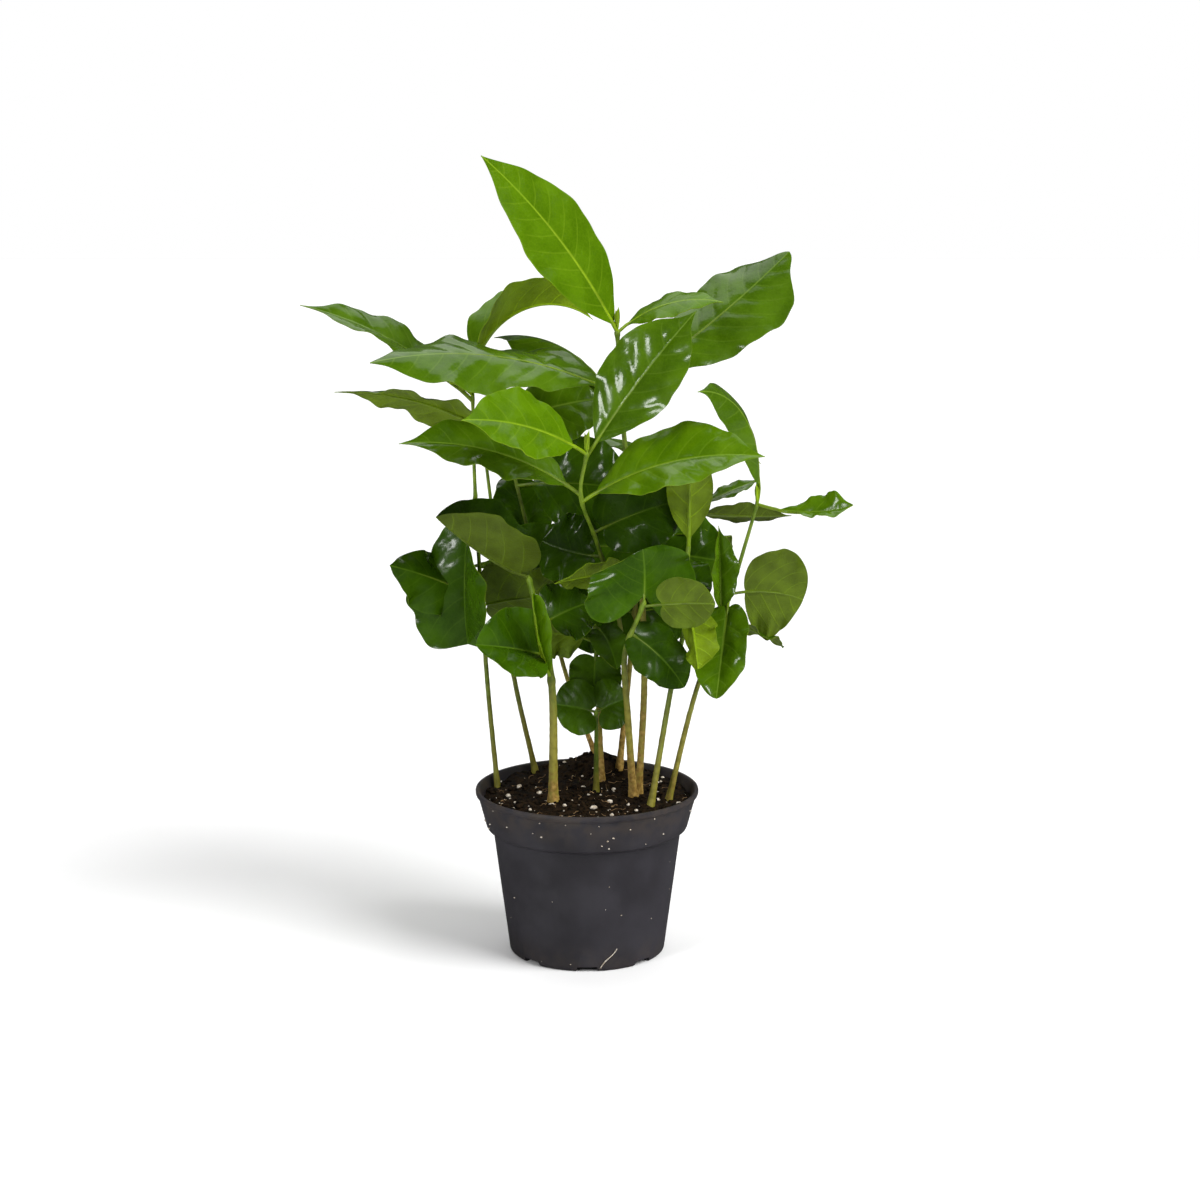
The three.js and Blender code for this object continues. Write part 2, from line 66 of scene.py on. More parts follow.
# %% [markdown]
# ## The camera
# The plant was seen from a little above, so the soil shows as a wide ellipse inside the rim. A camera can
# be placed by eye, but the pot is a known round shape: the ellipses of its rim and foot fix how high the
# camera stands and how far away. The lens follows from how much of the picture the pot fills.

# %% Camera
CAMERA_PLACE = Vector((0, -1.3, 0.452))
CAMERA_AIM = Vector((0.007, 0, 0.1925))

camera = bpy.data.objects.new("camera", bpy.data.cameras.new("camera"))
camera.data.lens = 74.9
camera.location = CAMERA_PLACE
camera.rotation_euler = (CAMERA_AIM - CAMERA_PLACE).to_track_quat("-Z", "Y").to_euler()
scene.collection.objects.link(camera)
scene.camera = camera
print("camera stands", round((CAMERA_AIM - CAMERA_PLACE).length, 3), "m away")

# %% [markdown]
# ## Studio light and floor
# Waxy leaves are drawn by what they mirror, so the light matters as much as the colour. A broad key light
# from the right throws the pot's shadow to the left. It is kept out of the mirror image, where it would
# lay a grey haze on the young leaves. Two softboxes in front put white streaks on the leaves that face
# the viewer, and the right one is there for its mirror image alone. A wide light overhead greys the tops
# of the drooping leaves. A photographer keeps black cards round shiny leaves so that they stay deep in
# colour. Here the sky and the floor do the same: both look white, but are dim to a ray that comes from a
# mirroring surface.

# %% Lights
def place_lamp(name, lamp, place, direction):
    thing = bpy.data.objects.new(name, lamp)
    thing.location = place
    thing.rotation_euler = Vector(direction).to_track_quat("-Z", "Y").to_euler()
    scene.collection.objects.link(thing)
    return thing


def far_light(name, direction, strength, spread_deg, mirrored):
    """Light from far away, seen in shiny surfaces or kept out of them."""
    lamp = bpy.data.lights.new(name, "SUN")
    lamp.energy = strength
    lamp.angle = np.radians(spread_deg)
    place_lamp(name, lamp, (0, 0, 2), direction).visible_glossy = mirrored


def softbox(name, place, direction, width, watts, lights_up):
    """A square lamp for shiny surfaces, which lights the matt ones too where asked."""
    lamp = bpy.data.lights.new(name, "AREA")
    lamp.shape = "SQUARE"
    lamp.size = width
    lamp.energy = watts
    place_lamp(name, lamp, place, direction).visible_diffuse = lights_up


far_light("key", (-1.15, 0.65, -1.15), 3.15, 38, mirrored=False)
far_light("overhead", (0, -0.5, -1), 1.0, 60, mirrored=True)
softbox("front_box", (-1.1, -1.2, 0.9), (1.1, 1.2, -0.65), 0.35, 9, lights_up=True)
softbox("right_box", (0.75, -1.45, 1.25), (-0.75, 1.45, -1.0), 0.4, 8, lights_up=False)

# %% Sky
SKY_SEEN = 1.0
SKY_LIGHTS = 0.27
SKY_MIRRORED = 0.05

world = bpy.data.worlds.new("studio")
world.use_nodes = True
world.cycles.sampling_method = "NONE"
scene.world = world
scene.view_settings.view_transform = "Standard"


def brightness(tree, which, amount, base):
    """Base plus an amount for one kind of ray."""
    ray = tree.nodes.new("ShaderNodeLightPath").outputs[which]
    node = tree.nodes.new("ShaderNodeMath")
    node.operation = "MULTIPLY_ADD"
    tree.links.new(ray, node.inputs[0])
    node.inputs[1].default_value = amount
    if isinstance(base, float):
        node.inputs[2].default_value = base
    else:
        tree.links.new(base, node.inputs[2])
    return node.outputs[0]


tree = world.node_tree
sky = tree.nodes["Background"]
mirrored = brightness(tree, "Is Glossy Ray", SKY_MIRRORED - SKY_LIGHTS, SKY_LIGHTS)
tree.links.new(brightness(tree, "Is Camera Ray", SKY_SEEN - SKY_LIGHTS, mirrored), sky.inputs["Strength"])
sky.inputs["Color"].default_value = (1, 1, 1, 1)
print("sky lights at", SKY_LIGHTS)

# %% Floor
FLOOR_REACH = 6.0
FLOOR_WHITE = 0.96
FLOOR_MIRRORED = 0.12

floor_mesh = bpy.data.meshes.new("studio_floor")
corners = [(-1, -1), (1, -1), (1, 1), (-1, 1)]
floor_mesh.from_pydata([(x * FLOOR_REACH, y * FLOOR_REACH, 0) for x, y in corners], [], [(0, 1, 2, 3)])
floor = bpy.data.objects.new("studio_floor", floor_mesh)
scene.collection.objects.link(floor)
floor_paint = bpy.data.materials.new("studio_floor")
floor_paint.use_nodes = True
tree = floor_paint.node_tree
shader = tree.nodes["Principled BSDF"]
shader.inputs["Roughness"].default_value = 0.9
shader.inputs["Specular IOR Level"].default_value = 0.0
floor_shade = brightness(tree, "Is Glossy Ray", FLOOR_MIRRORED - FLOOR_WHITE, FLOOR_WHITE)
tree.links.new(floor_shade, shader.inputs["Base Color"])
floor_mesh.materials.append(floor_paint)
floor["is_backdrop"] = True
print("floor", 2 * FLOOR_REACH, "m wide")

# %% [markdown]
# ## Helpers for materials
# Every finish here is built from nodes. A few small helpers keep the cells short: one adds a node with
# its inputs filled, some blend, weaken or fade what comes out of it, and one turns the colour numbers
# that a paint program shows into the linear light that a shader works in. The last opens a node group
# with named sockets.

# %% Node helpers
def add(tree, kind, inputs, **settings):
    """A new node with its settings made and its inputs set or linked."""
    node = tree.nodes.new(kind)
    for key, value in settings.items():
        setattr(node, key, value)
    for key, value in inputs.items():
        if isinstance(value, bpy.types.NodeSocket):
            tree.links.new(value, node.inputs[key])
        else:
            node.inputs[key].default_value = value
    return node


def blend_colour(tree, share, first, second):
    node = add(tree, "ShaderNodeMix", {0: share, 6: first, 7: second}, data_type="RGBA")
    return node.outputs[2]


def calculate(tree, operation, first, second=0.0):
    return add(tree, "ShaderNodeMath", {0: first, 1: second}, operation=operation).outputs[0]


def part_of(tree, mask, amount):
    return calculate(tree, "MULTIPLY", mask, amount)


def fade(tree, value, start, end, low=0.0, high=1.0):
    """A smooth change from low to high while the value runs from start to end."""
    inputs = {"Value": value, "From Min": start, "From Max": end, "To Min": low, "To Max": high}
    return add(tree, "ShaderNodeMapRange", inputs, interpolation_type="SMOOTHSTEP").outputs["Result"]


def paint(red, green, blue):
    """Display colour, 0 to 255, as linear light."""
    share = np.array([red, green, blue]) / 255
    linear = np.where(share <= 0.04045, share / 12.92, ((share + 0.055) / 1.055) ** 2.4)
    return (*linear.tolist(), 1.0)


print("mid green in linear light:", [round(v, 3) for v in paint(66, 104, 6)])

# %% Group helper
def open_group(name, inputs, outputs):
    """A shader node group with named sockets, and its ends to link to."""
    group = bpy.data.node_groups.new(name, "ShaderNodeTree")
    for label, kind, value in inputs:
        socket = group.interface.new_socket(label, in_out="INPUT", socket_type=kind)
        socket.default_value = value
    for label, kind in outputs:
        group.interface.new_socket(label, in_out="OUTPUT", socket_type=kind)
    start = group.nodes.new("NodeGroupInput")
    end = group.nodes.new("NodeGroupOutput")
    return group, start.outputs, end.inputs


FLOAT = "NodeSocketFloat"
COLOUR = "NodeSocketColor"
print("sockets used:", FLOAT, COLOUR)

# %% [markdown]
# ## Shared effects
# Nothing that grows or weathers has one flat colour. The first group mottles two colours over each other
# in soft patches of a given size in millimetres. The second gives a fine grain as a height, for skin,
# bark, peat and moulded plastic alike. Both read object coordinates, which are metres here, so a size
# stays true.

# %% Mottle
mottle, given, result = open_group(
    "mottle",
    [("Patch mm", FLOAT, 10.0), ("Dark", COLOUR, (0, 0, 0, 1)), ("Light", COLOUR, (1, 1, 1, 1))],
    [("Colour", COLOUR), ("Patches", FLOAT)])
place = add(mottle, "ShaderNodeTexCoord", {}).outputs["Object"]
per_metre = calculate(mottle, "DIVIDE", 1000.0, given["Patch mm"])
cloud = add(mottle, "ShaderNodeTexNoise", {"Vector": place, "Scale": per_metre, "Detail": 4.0})
patches = fade(mottle, cloud.outputs["Fac"], 0.32, 0.68)
mottle.links.new(patches, result["Patches"])
mottle.links.new(blend_colour(mottle, patches, given["Dark"], given["Light"]), result["Colour"])
print("group:", mottle.name)

# %% Fine grain
grain, given, result = open_group("fine_grain", [("Grain mm", FLOAT, 0.5)], [("Height", FLOAT)])
place = add(grain, "ShaderNodeTexCoord", {}).outputs["Object"]
per_metre = calculate(grain, "DIVIDE", 1000.0, given["Grain mm"])
speckle = add(grain, "ShaderNodeTexNoise", {"Vector": place, "Scale": per_metre, "Detail": 3.0})
grain.links.new(speckle.outputs["Fac"], result["Height"])
print("group:", grain.name)


# %% Starting a material
def open_material(name, gloss):
    """A new material, its tree and its shader; gloss holds the shader's even values."""
    material = bpy.data.materials.new(name)
    material.use_nodes = True
    shader = material.node_tree.nodes["Principled BSDF"]
    for socket, value in gloss.items():
        shader.inputs[socket].default_value = value
    return material, material.node_tree, shader


def use_group(tree, group, inputs):
    return add(tree, "ShaderNodeGroup", inputs, node_tree=group).outputs


def mottled(tree, patch_mm, dark=(0, 0, 0), light=(255, 255, 255)):
    """The mottle group with a patch size and two display colours."""
    return use_group(tree, mottle, {"Patch mm": patch_mm, "Dark": paint(*dark), "Light": paint(*light)})


print("materials so far:", len(bpy.data.materials))


# %% Filling a material
def lay(tree, shader, colour, patches=None, rough=()):
    """Give the shader its colour, and a roughness that runs with the patches where one is given."""
    tree.links.new(colour, shader.inputs["Base Color"])
    if rough:
        tree.links.new(fade(tree, patches, 0.0, 1.0, *rough), shader.inputs["Roughness"])


def press(tree, shader, height, depth_mm, amount=1.0):
    """Feed a height into the shader's normal, so the surface takes its relief."""
    bump = add(tree, "ShaderNodeBump", {"Height": height, "Distance": depth_mm * MM, "Strength": amount})
    tree.links.new(bump.outputs["Normal"], shader.inputs["Normal"])


def press_grain(tree, shader, grain_mm, depth_mm, amount=1.0):
    press(tree, shader, use_group(tree, grain, {"Grain mm": grain_mm})["Height"], depth_mm, amount)


print("groups ready:", [group.name for group in bpy.data.node_groups])

# %% [markdown]
# ## Helpers for meshes
# The leaves, stems and crumbs are many, so they are made as arrays of points and faces and joined before
# a mesh is made of them. A grid of points with a face between each four is the one shape underneath a
# leaf, a stem and the soil. The layer named OFBake lays every face flat in a square of its own, so that
# colours can be stored on the piece later without one leaf printing on another.

# %% Grids of faces
def grid_faces(rows, columns, around=False):
    """Corner numbers of the faces between rows of points, closed into a ring where asked."""
    last = columns if around else columns - 1
    row, column = np.meshgrid(np.arange(rows - 1), np.arange(last), indexing="ij")
    beside = (column + 1) % columns
    corners = [row * columns + column, row * columns + beside,
               (row + 1) * columns + beside, (row + 1) * columns + column]
    return np.stack([corner.ravel() for corner in corners], axis=1)


def end_caps(rows, sides):
    """Faces that close the first and the last ring of a tube, each spanning four points straight across."""
    k = np.arange(sides // 2 - 1)
    last = np.stack([k, k + 1, sides - 2 - k, sides - 1 - k], axis=1)
    return np.vstack([last[:, [1, 0, 3, 2]], last + (rows - 1) * sides])


def tube_faces(rows, sides):
    return np.vstack([grid_faces(rows, sides, around=True), end_caps(rows, sides)])


def grid_layout(rows, columns, left, low, width, height):
    """Face corners of a grid laid flat in a rectangle, its columns running up and its rows to the right."""
    row, column = np.meshgrid(np.arange(rows - 1), np.arange(columns - 1), indexing="ij")
    across = [column, column + 1, column + 1, column]
    along = [row, row, row + 1, row + 1]
    flat = [np.stack([left + width * along[k] / (rows - 1), low + height * across[k] / (columns - 1)], -1)
            for k in range(4)]
    return np.stack([corner.reshape(-1, 2) for corner in flat], axis=1)


def tube_layout(rows, sides, left, low, width, height):
    """The same for a tube, whose end faces take the colour of the rings that they close."""
    row, column = np.divmod(end_caps(rows, sides), sides)
    caps = np.stack([left + width * row / (rows - 1), low + height * column / sides], axis=-1)
    return np.vstack([grid_layout(rows, sides + 1, left, low, width, height), caps])


print("faces in a 3 by 4 grid:", len(grid_faces(3, 4)))


# %% Making a piece
def make_piece(name, points, faces, layers, materials, slots=None, sharp_deg=60):
    """A smooth mesh object from arrays in millimetres, with its layers of flat coordinates."""
    mesh = bpy.data.meshes.new(name)
    mesh.from_pydata((np.asarray(points) * MM).tolist(), [], np.asarray(faces).tolist())
    for label, corners in layers.items():
        layer = mesh.uv_layers.new(name=label)
        layer.data.foreach_set("uv", np.asarray(corners, dtype=np.float32).ravel())
    for material in materials:
        mesh.materials.append(material)
    if slots is not None:
        mesh.polygons.foreach_set("material_index", np.asarray(slots, dtype=np.int32))
    mesh.polygons.foreach_set("use_smooth", np.ones(len(mesh.polygons), dtype=bool))
    mesh.set_sharp_from_angle(angle=np.radians(sharp_deg))
    piece = bpy.data.objects.new(name, mesh)
    scene.collection.objects.link(piece)
    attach(piece, "root")
    return piece


def triangles(piece):
    piece.data.calc_loop_triangles()
    return len(piece.data.loop_triangles)


# %% [markdown]
# ## The pot
# A nursery pot is blown from black polypropylene: a tapered cup, a flared band at the top that takes the
# grip when pots are stacked, a thin rolled lip, and drain notches round the foot. It is a turned shape,
# so a profile swept round the axis is the plain way to make it. The profile is rounded more finely than
# the solid, and the notches are cut with a Boolean so that their walls show the real thickness.

# %% Pot profile
POT_HEIGHT = 90
RIM_RADIUS = 60
BASE_RADIUS = 42
POT_SIDES = 192

OUTER = [(0, 0.5), (36, 0.5), (37, 0), (40.4, 0), (41.2, 0.25), (41.8, 0.8), (42.1, 1.6), (43.4, 12),
         (45.5, 28), (47.6, 44), (49.6, 59.5), (50.2, 64), (50.5, 65.8), (51, 67.1), (51.9, 68),
         (52.9, 68.5), (53.8, 69.1), (54.3, 70), (54.7, 71.5), (55.6, 75), (57.2, 81), (58.4, 85.4),
         (58.7, 86.3), (59.3, 86.8), (59.8, 87.2), (60, 87.9), (60, 88.9), (59.8, 89.6), (59.2, 90),
         (58.4, 89.9)]
INNER = [(57.8, 89.4), (57.2, 88), (56.2, 84), (53.4, 73), (52.4, 70.6), (50, 68.6), (49, 66.5),
         (45, 38), (40.6, 4), (40, 2.4), (38.8, 2), (0, 2)]


def turned(profile, sides):
    angle = np.linspace(0, 2 * np.pi, sides, endpoint=False)
    radius, height = np.array(profile, dtype=float).T
    ring = np.stack([np.outer(radius, np.cos(angle)), np.outer(radius, np.sin(angle)),
                     np.repeat(height[:, None], sides, axis=1)], axis=-1)
    faces = grid_faces(len(profile), sides, around=True)
    return ring.reshape(-1, 3), faces


pot_points, pot_faces = turned(OUTER + INNER, POT_SIDES)
print("pot profile points:", len(OUTER + INNER))

# %% [markdown]
# ### Pot plastic
# Up close the plastic is charcoal rather than black, a little blue, and matt from the mould's
# spark-etched skin. Handling leaves faint scuffs, and watering leaves a brown bloom of dried peat under
# the lip. Paint could be brushed on, but these marks follow no drawing, so noise in object space serves:
# one cloud for scuffs and one, strongest near the rim, for the bloom.

# %% Pot plastic
pot_plastic, tree, shader = open_material("pot_plastic", {"Specular IOR Level": 0.45})
skin = mottled(tree, 26, (43, 41, 46), (52, 50, 56))
bloom = mottled(tree, 7)
place = add(tree, "ShaderNodeTexCoord", {}).outputs["Object"]
height = add(tree, "ShaderNodeSeparateXYZ", {"Vector": place}).outputs["Z"]
near_rim = fade(tree, height, 0.066, 0.09)
near_foot = fade(tree, height, 0.02, 0.0)
dusty = calculate(tree, "MAXIMUM", part_of(tree, near_rim, 0.55), part_of(tree, near_foot, 0.3))
dust_share = part_of(tree, bloom["Patches"], dusty)
colour = blend_colour(tree, dust_share, skin["Colour"], paint(74, 64, 54))
lay(tree, shader, colour, skin["Patches"], (0.42, 0.56))
press_grain(tree, shader, 0.35, 0.05, 0.5)
print("pot finish:", pot_plastic.name)

# %% Pot shell
POT_EDGES = 40

pot_shell = make_piece("pot_shell", pot_points, pot_faces, {}, [pot_plastic], sharp_deg=POT_EDGES)
bm = bmesh.new()
bm.from_mesh(pot_shell.data)
bmesh.ops.remove_doubles(bm, verts=bm.verts, dist=1e-6)
bmesh.ops.recalc_face_normals(bm, faces=bm.faces)
bm.to_mesh(pot_shell.data)
bm.free()
print("pot points before the cut:", len(pot_shell.data.vertices))

# %% Notch cutters
NOTCHES = 8
NOTCH_WIDTH = 12
NOTCH_HEIGHT = 2.6
NOTCH_DEPTH = 5
NOTCH_DRAFT = 0.12

cutters = bmesh.new()
for k in range(NOTCHES):
    corner = bmesh.ops.create_cube(cutters, size=1.0)["verts"]
    for vert in corner:
        x = BASE_RADIUS + vert.co.x * 2 * NOTCH_DEPTH
        y = vert.co.y * NOTCH_WIDTH * (1 - NOTCH_DRAFT * (vert.co.z > 0))
        z = vert.co.z * 2 * NOTCH_HEIGHT
        turn = np.radians(-90 + 360 * k / NOTCHES)
        vert.co = Vector((x * np.cos(turn) - y * np.sin(turn), x * np.sin(turn) + y * np.cos(turn), z)) * MM
cutter_mesh = bpy.data.meshes.new("notch_cutters")
cutters.to_mesh(cutter_mesh)
cutters.free()
cutter = bpy.data.objects.new("notch_cutters", cutter_mesh)
scene.collection.objects.link(cutter)
print("notches to cut:", NOTCHES)

# %% Cutting the notches
cut = pot_shell.modifiers.new("notches", "BOOLEAN")
cut.operation = "DIFFERENCE"
cut.solver = "EXACT"
cut.object = cutter
notched = bpy.data.meshes.new_from_object(pot_shell.evaluated_get(bpy.context.evaluated_depsgraph_get()))
pot_shell.modifiers.clear()
pot_shell.data = notched
bpy.data.objects.remove(cutter)
notched.set_sharp_from_angle(angle=np.radians(POT_EDGES))
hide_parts("pot")
print("pot shell triangles:", triangles(pot_shell))

# %% [markdown]
# ## The soil
# The pot holds peat: dark, crumbly and pressed down, banked up to the rim at the back, with a clump
# heaped there where a root ball was set in. The surface could be a bump on a disc, but it is seen at a
# slant, so real height is better. The bed is a turned grid whose top is raised by the same bank and mound
# as the solid and roughened by noise.

# %% Soil height
SOIL_LEVEL = 84
SOIL_RADIUS = 55.6
BANK = {"from": 5, "across": 50.6, "height": 5.5}
MOUND = {"x": 8, "y": 48, "height": 15, "across": 14, "along": 9}

# Waves in each millimetre, layer of the noise, and height in millimetres.
CLODS = (0.11, 3.0, 1.9)
CRUMBS = (0.42, 8.0, 1.0)
GRIT = (1.3, 15.0, 0.4)


def bank(y):
    return BANK["height"] * np.clip((y - BANK["from"]) / BANK["across"], 0, None) ** 2


def soil_height(x, y):
    across = (x - MOUND["x"]) / MOUND["across"]
    along = (y - MOUND["y"]) / MOUND["along"]
    inside = 1 - np.clip(np.hypot(x, y) / SOIL_RADIUS, 0, 1) ** 6
    return SOIL_LEVEL + bank(y) + inside * MOUND["height"] * np.exp(-(across ** 2 + along ** 2) / 2)


def crumbled(x, y):
    """Height of the broken surface: clods, then crumbs, then grit."""
    height = soil_height(x, y)
    for fineness, layer, swing in CLODS, CRUMBS, GRIT:
        height += swing * noise.noise(Vector((x * fineness, y * fineness, layer)))
    return height


print("soil 40 mm behind the middle:", round(float(soil_height(0, 40)), 1))

# %% Peat
peat, tree, shader = open_material("peat", {"Specular IOR Level": 0.12})
earth = mottled(tree, 3, (12, 8, 5), (42, 31, 19))
lay(tree, shader, earth["Colour"], earth["Patches"], (0.75, 0.95))
press_grain(tree, shader, 0.9, 0.5)
print("soil finish:", peat.name)

# %% Soil bed
SOIL_RINGS = 90
SOIL_SIDES = 200


def from_above(points, faces):
    """The layer that lays faces flat as they are seen from above, in a square as wide as the rim."""
    return {"OFBake": 0.5 + points[faces][:, :, :2] / (2 * RIM_RADIUS)}


ring_radius = np.linspace(SOIL_RADIUS, 0.01, SOIL_RINGS)
bed_profile = [(0.01, 2.4), (39, 2.4), (48.4, 66.8), (52, 71)] + [(r, SOIL_LEVEL) for r in ring_radius]
bed_points, bed_faces = turned(bed_profile, SOIL_SIDES)
bed_faces = np.vstack([bed_faces, end_caps(len(bed_profile), SOIL_SIDES)])
top = bed_points[:, 2] > SOIL_LEVEL - 0.1
bed_points[top, 2] = [crumbled(x, y) for x, y in bed_points[top, :2]]
bed_points[top, :2] *= 1 + 0.005 * bank(bed_points[top, 1])[:, None]
soil_bed = make_piece("soil_bed", bed_points, bed_faces, from_above(bed_points, bed_faces), [peat])
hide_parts("soil")
print("soil bed triangles:", triangles(soil_bed))

# %% [markdown]
# ### Crumbs, perlite and fibres
# Loose things lie on the bed: crumbs of peat, popped white perlite, and tan threads of coir. Particles
# would scatter them, but they vanish on export, so each is a small real lump or thread, joined with its
# kind into one piece. A lump is a ball of triangles whose points are pushed in and out by chance, seeded
# so that every run gives the same soil.

# %% Lumps
LUMP_EDGES = 80

chance = np.random.default_rng(11)
ball = bmesh.new()
bmesh.ops.create_icosphere(ball, subdivisions=2, radius=1.0)
BALL_POINTS = np.array([vert.co for vert in ball.verts])
BALL_FACES = np.array([[vert.index for vert in face.verts] for face in ball.faces])
ball.free()


def lumps_at(places, sizes, roughness, flatness):
    """Points and faces of one lump at each place, each with its own size, squash and dents."""
    points, faces = [], []
    for number, (place, size) in enumerate(zip(places, sizes)):
        stretch = size * np.array([chance.uniform(0.75, 1.3), chance.uniform(0.75, 1.3), flatness])
        dents = 1 + roughness * chance.uniform(-1, 1, (len(BALL_POINTS), 1))
        spin = chance.uniform(0, np.pi)
        lump = BALL_POINTS * dents * stretch
        x = lump[:, 0] * np.cos(spin) - lump[:, 1] * np.sin(spin)
        y = lump[:, 0] * np.sin(spin) + lump[:, 1] * np.cos(spin)
        points.append(np.stack([x, y, lump[:, 2]], axis=1) + place)
        faces.append(BALL_FACES + number * len(BALL_POINTS))
    return np.vstack(points), np.vstack(faces)


def spots_on_soil(count, reach=54.0):
    radius = reach * np.sqrt(chance.uniform(0, 1, count))
    angle = chance.uniform(0, 2 * np.pi, count)
    return np.stack([radius * np.cos(angle), radius * np.sin(angle)], axis=1)


print("points in a lump:", len(BALL_POINTS))

# %% Peat crumbs
LOOSE_CRUMBS = 480

crumb_spots = spots_on_soil(LOOSE_CRUMBS)
crumb_sizes = chance.uniform(0.5, 1.1, LOOSE_CRUMBS)
crumb_sizes *= 1 + 1.2 * chance.uniform(0, 1, LOOSE_CRUMBS) ** 6
crumb_places = [(x, y, crumbled(x, y) + 0.3 * size) for (x, y), size in zip(crumb_spots, crumb_sizes)]
crumb_points, crumb_faces = lumps_at(crumb_places, crumb_sizes, 0.28, 0.8)
soil_crumbs = make_piece("soil_crumbs", crumb_points, crumb_faces, from_above(crumb_points, crumb_faces),
                         [peat], sharp_deg=LUMP_EDGES)
print("crumb triangles:", triangles(soil_crumbs))

# %% Perlite
# The largest grains of perlite lie where they show, and small ones are strewn between them.
LARGE_GRAINS = [(-37, 17, 1.7), (-42.5, 4, 1.5), (-26, 8, 1.5), (-12, -17, 1.3), (-19, -17, 1.5),
                (3.5, -24, 1.6), (12, -10, 1.5), (14.5, 15, 1.3), (13, -38, 1.2), (49, -13.5, 1.4),
                (38, -4, 1.2), (26, -27, 1.1), (-48, 31, 1.0), (-2, 18, 1.0), (22, -14, 1.2),
                (-30, -30, 1.0)]
SMALL_GRAINS = 90

perlite_white, tree, shader = open_material("perlite_white", {"Specular IOR Level": 0.3})
foam = mottled(tree, 1.4, (176, 160, 138), (236, 228, 214))
lay(tree, shader, foam["Colour"], foam["Patches"], (0.7, 0.9))
press_grain(tree, shader, 0.4, 0.15)

small_spots = spots_on_soil(SMALL_GRAINS)
grain_spots = [(x, y) for x, y, size in LARGE_GRAINS] + [tuple(spot) for spot in small_spots]
small_sizes = 0.28 + 0.6 * chance.uniform(0, 1, SMALL_GRAINS) ** 3
grain_sizes = [size for x, y, size in LARGE_GRAINS] + list(small_sizes)
grain_places = [(x, y, crumbled(x, y) + 0.45 * size) for (x, y), size in zip(grain_spots, grain_sizes)]
perlite_points, perlite_faces = lumps_at(grain_places, grain_sizes, 0.16, 0.7)
perlite = make_piece("perlite", perlite_points, perlite_faces, from_above(perlite_points, perlite_faces),
                     [perlite_white], sharp_deg=LUMP_EDGES)
print("grains of perlite:", len(grain_places))


# %% Threads
def tube(path, radii, sides):
    """Points and faces of a closed tube along a path, with rings square to it."""
    path = np.asarray(path, dtype=float)
    ahead = np.gradient(path, axis=0)
    ahead /= np.linalg.norm(ahead, axis=1)[:, None]
    across = np.cross(ahead, [0.31, 0.12, 0.94])
    across /= np.maximum(np.linalg.norm(across, axis=1), 1e-9)[:, None]
    over = np.cross(ahead, across)
    angle = np.linspace(0, 2 * np.pi, sides, endpoint=False)
    circle = across[:, None] * np.cos(angle)[None, :, None] + over[:, None] * np.sin(angle)[None, :, None]
    rings = path[:, None] + circle * np.asarray(radii, dtype=float)[:, None, None]
    return rings.reshape(-1, 3), tube_faces(len(path), sides)


def join(parts):
    """Points and faces of several parts as one."""
    start = np.cumsum([0] + [len(points) for points, faces in parts[:-1]])
    return (np.vstack([points for points, faces in parts]),
            np.vstack([faces + shift for (points, faces), shift in zip(parts, start)]))


print("faces of a short tube:", len(tube_faces(3, 6)))

# %% Coir and a root
coir, tree, shader = open_material("coir", {"Roughness": 0.8})
lay(tree, shader, mottled(tree, 4, (92, 66, 40), (168, 138, 98))["Colour"])
press_grain(tree, shader, 0.3, 0.05)

threads = []
for x, y in spots_on_soil(64, 52.0):
    length = chance.uniform(2.5, 9)
    heading = chance.uniform(0, 2 * np.pi) + np.cumsum(chance.normal(0, 0.35, 9))
    steps = np.stack([np.cos(heading), np.sin(heading)], axis=1) * length / 9
    run = np.vstack([[x, y], [x, y] + np.cumsum(steps, axis=0)])
    run = run[np.hypot(run[:, 0], run[:, 1]) < 54.5]
    if len(run) > 4:
        arch = 0.35 + 0.5 * np.abs(np.sin(3 * np.arange(len(run)) / len(run)))
        lifted = [(px, py, crumbled(px, py) + rise) for (px, py), rise in zip(run, arch)]
        threads.append(tube(lifted, np.linspace(0.2, 0.08, len(run)) * chance.uniform(0.7, 1.3), 6))

# One pale root has grown out of the front drain notch and lies on the pot.
root_run = [(6.6, -39.5, 1.3), (7.1, -41.9, 2.2), (8.2, -42.3, 4.2), (9.5, -42.2, 5.9),
            (11.4, -42.1, 7.6), (13.2, -41.9, 9.2), (14.7, -41.5, 10.9), (15.8, -41.4, 12.7)]
threads.append(tube(root_run, np.linspace(0.32, 0.2, len(root_run)), 6))
thread_points, thread_faces = join(threads)
root_faces = len(threads[-1][1])
thread_slots = np.repeat([0, 1], [len(thread_faces) - root_faces, root_faces])
soil_threads = make_piece("soil_threads", thread_points, thread_faces,
                          from_above(thread_points, thread_faces), [coir, perlite_white], thread_slots)
print("threads:", len(threads))

# %% [markdown]
# ### Splashes on the pot
# Potting leaves grit on the outside: a few pale specks on the band and fewer on the body. They are set as
# small flat lumps on the wall, at an angle round the pot and a height, and the rest of the pot gets its
# share by chance.

# %% Specks
SEEN_SPECKS = [(-148, 85.3), (-138, 78.5), (-115, 77), (-88, 80.5), (-79, 75.8), (-76, 77.4),
               (-84, 84.6), (-56, 71.4), (-44, 74.9), (-53, 85.5), (-67, 81.5), (-146, 36),
               (-76, 48.5), (-113, 39.2), (-67, 31.5), (-78, 35.6), (-41, 25.5), (-102, 4),
               (-125, 3.4), (-101, 85.2), (-115, 85), (-120, 78.3), (-82, 73.1), (-78, 71.3)]


def wall_radius(height):
    radius, level = np.array(OUTER[5:]).T
    return np.interp(height, level, radius)


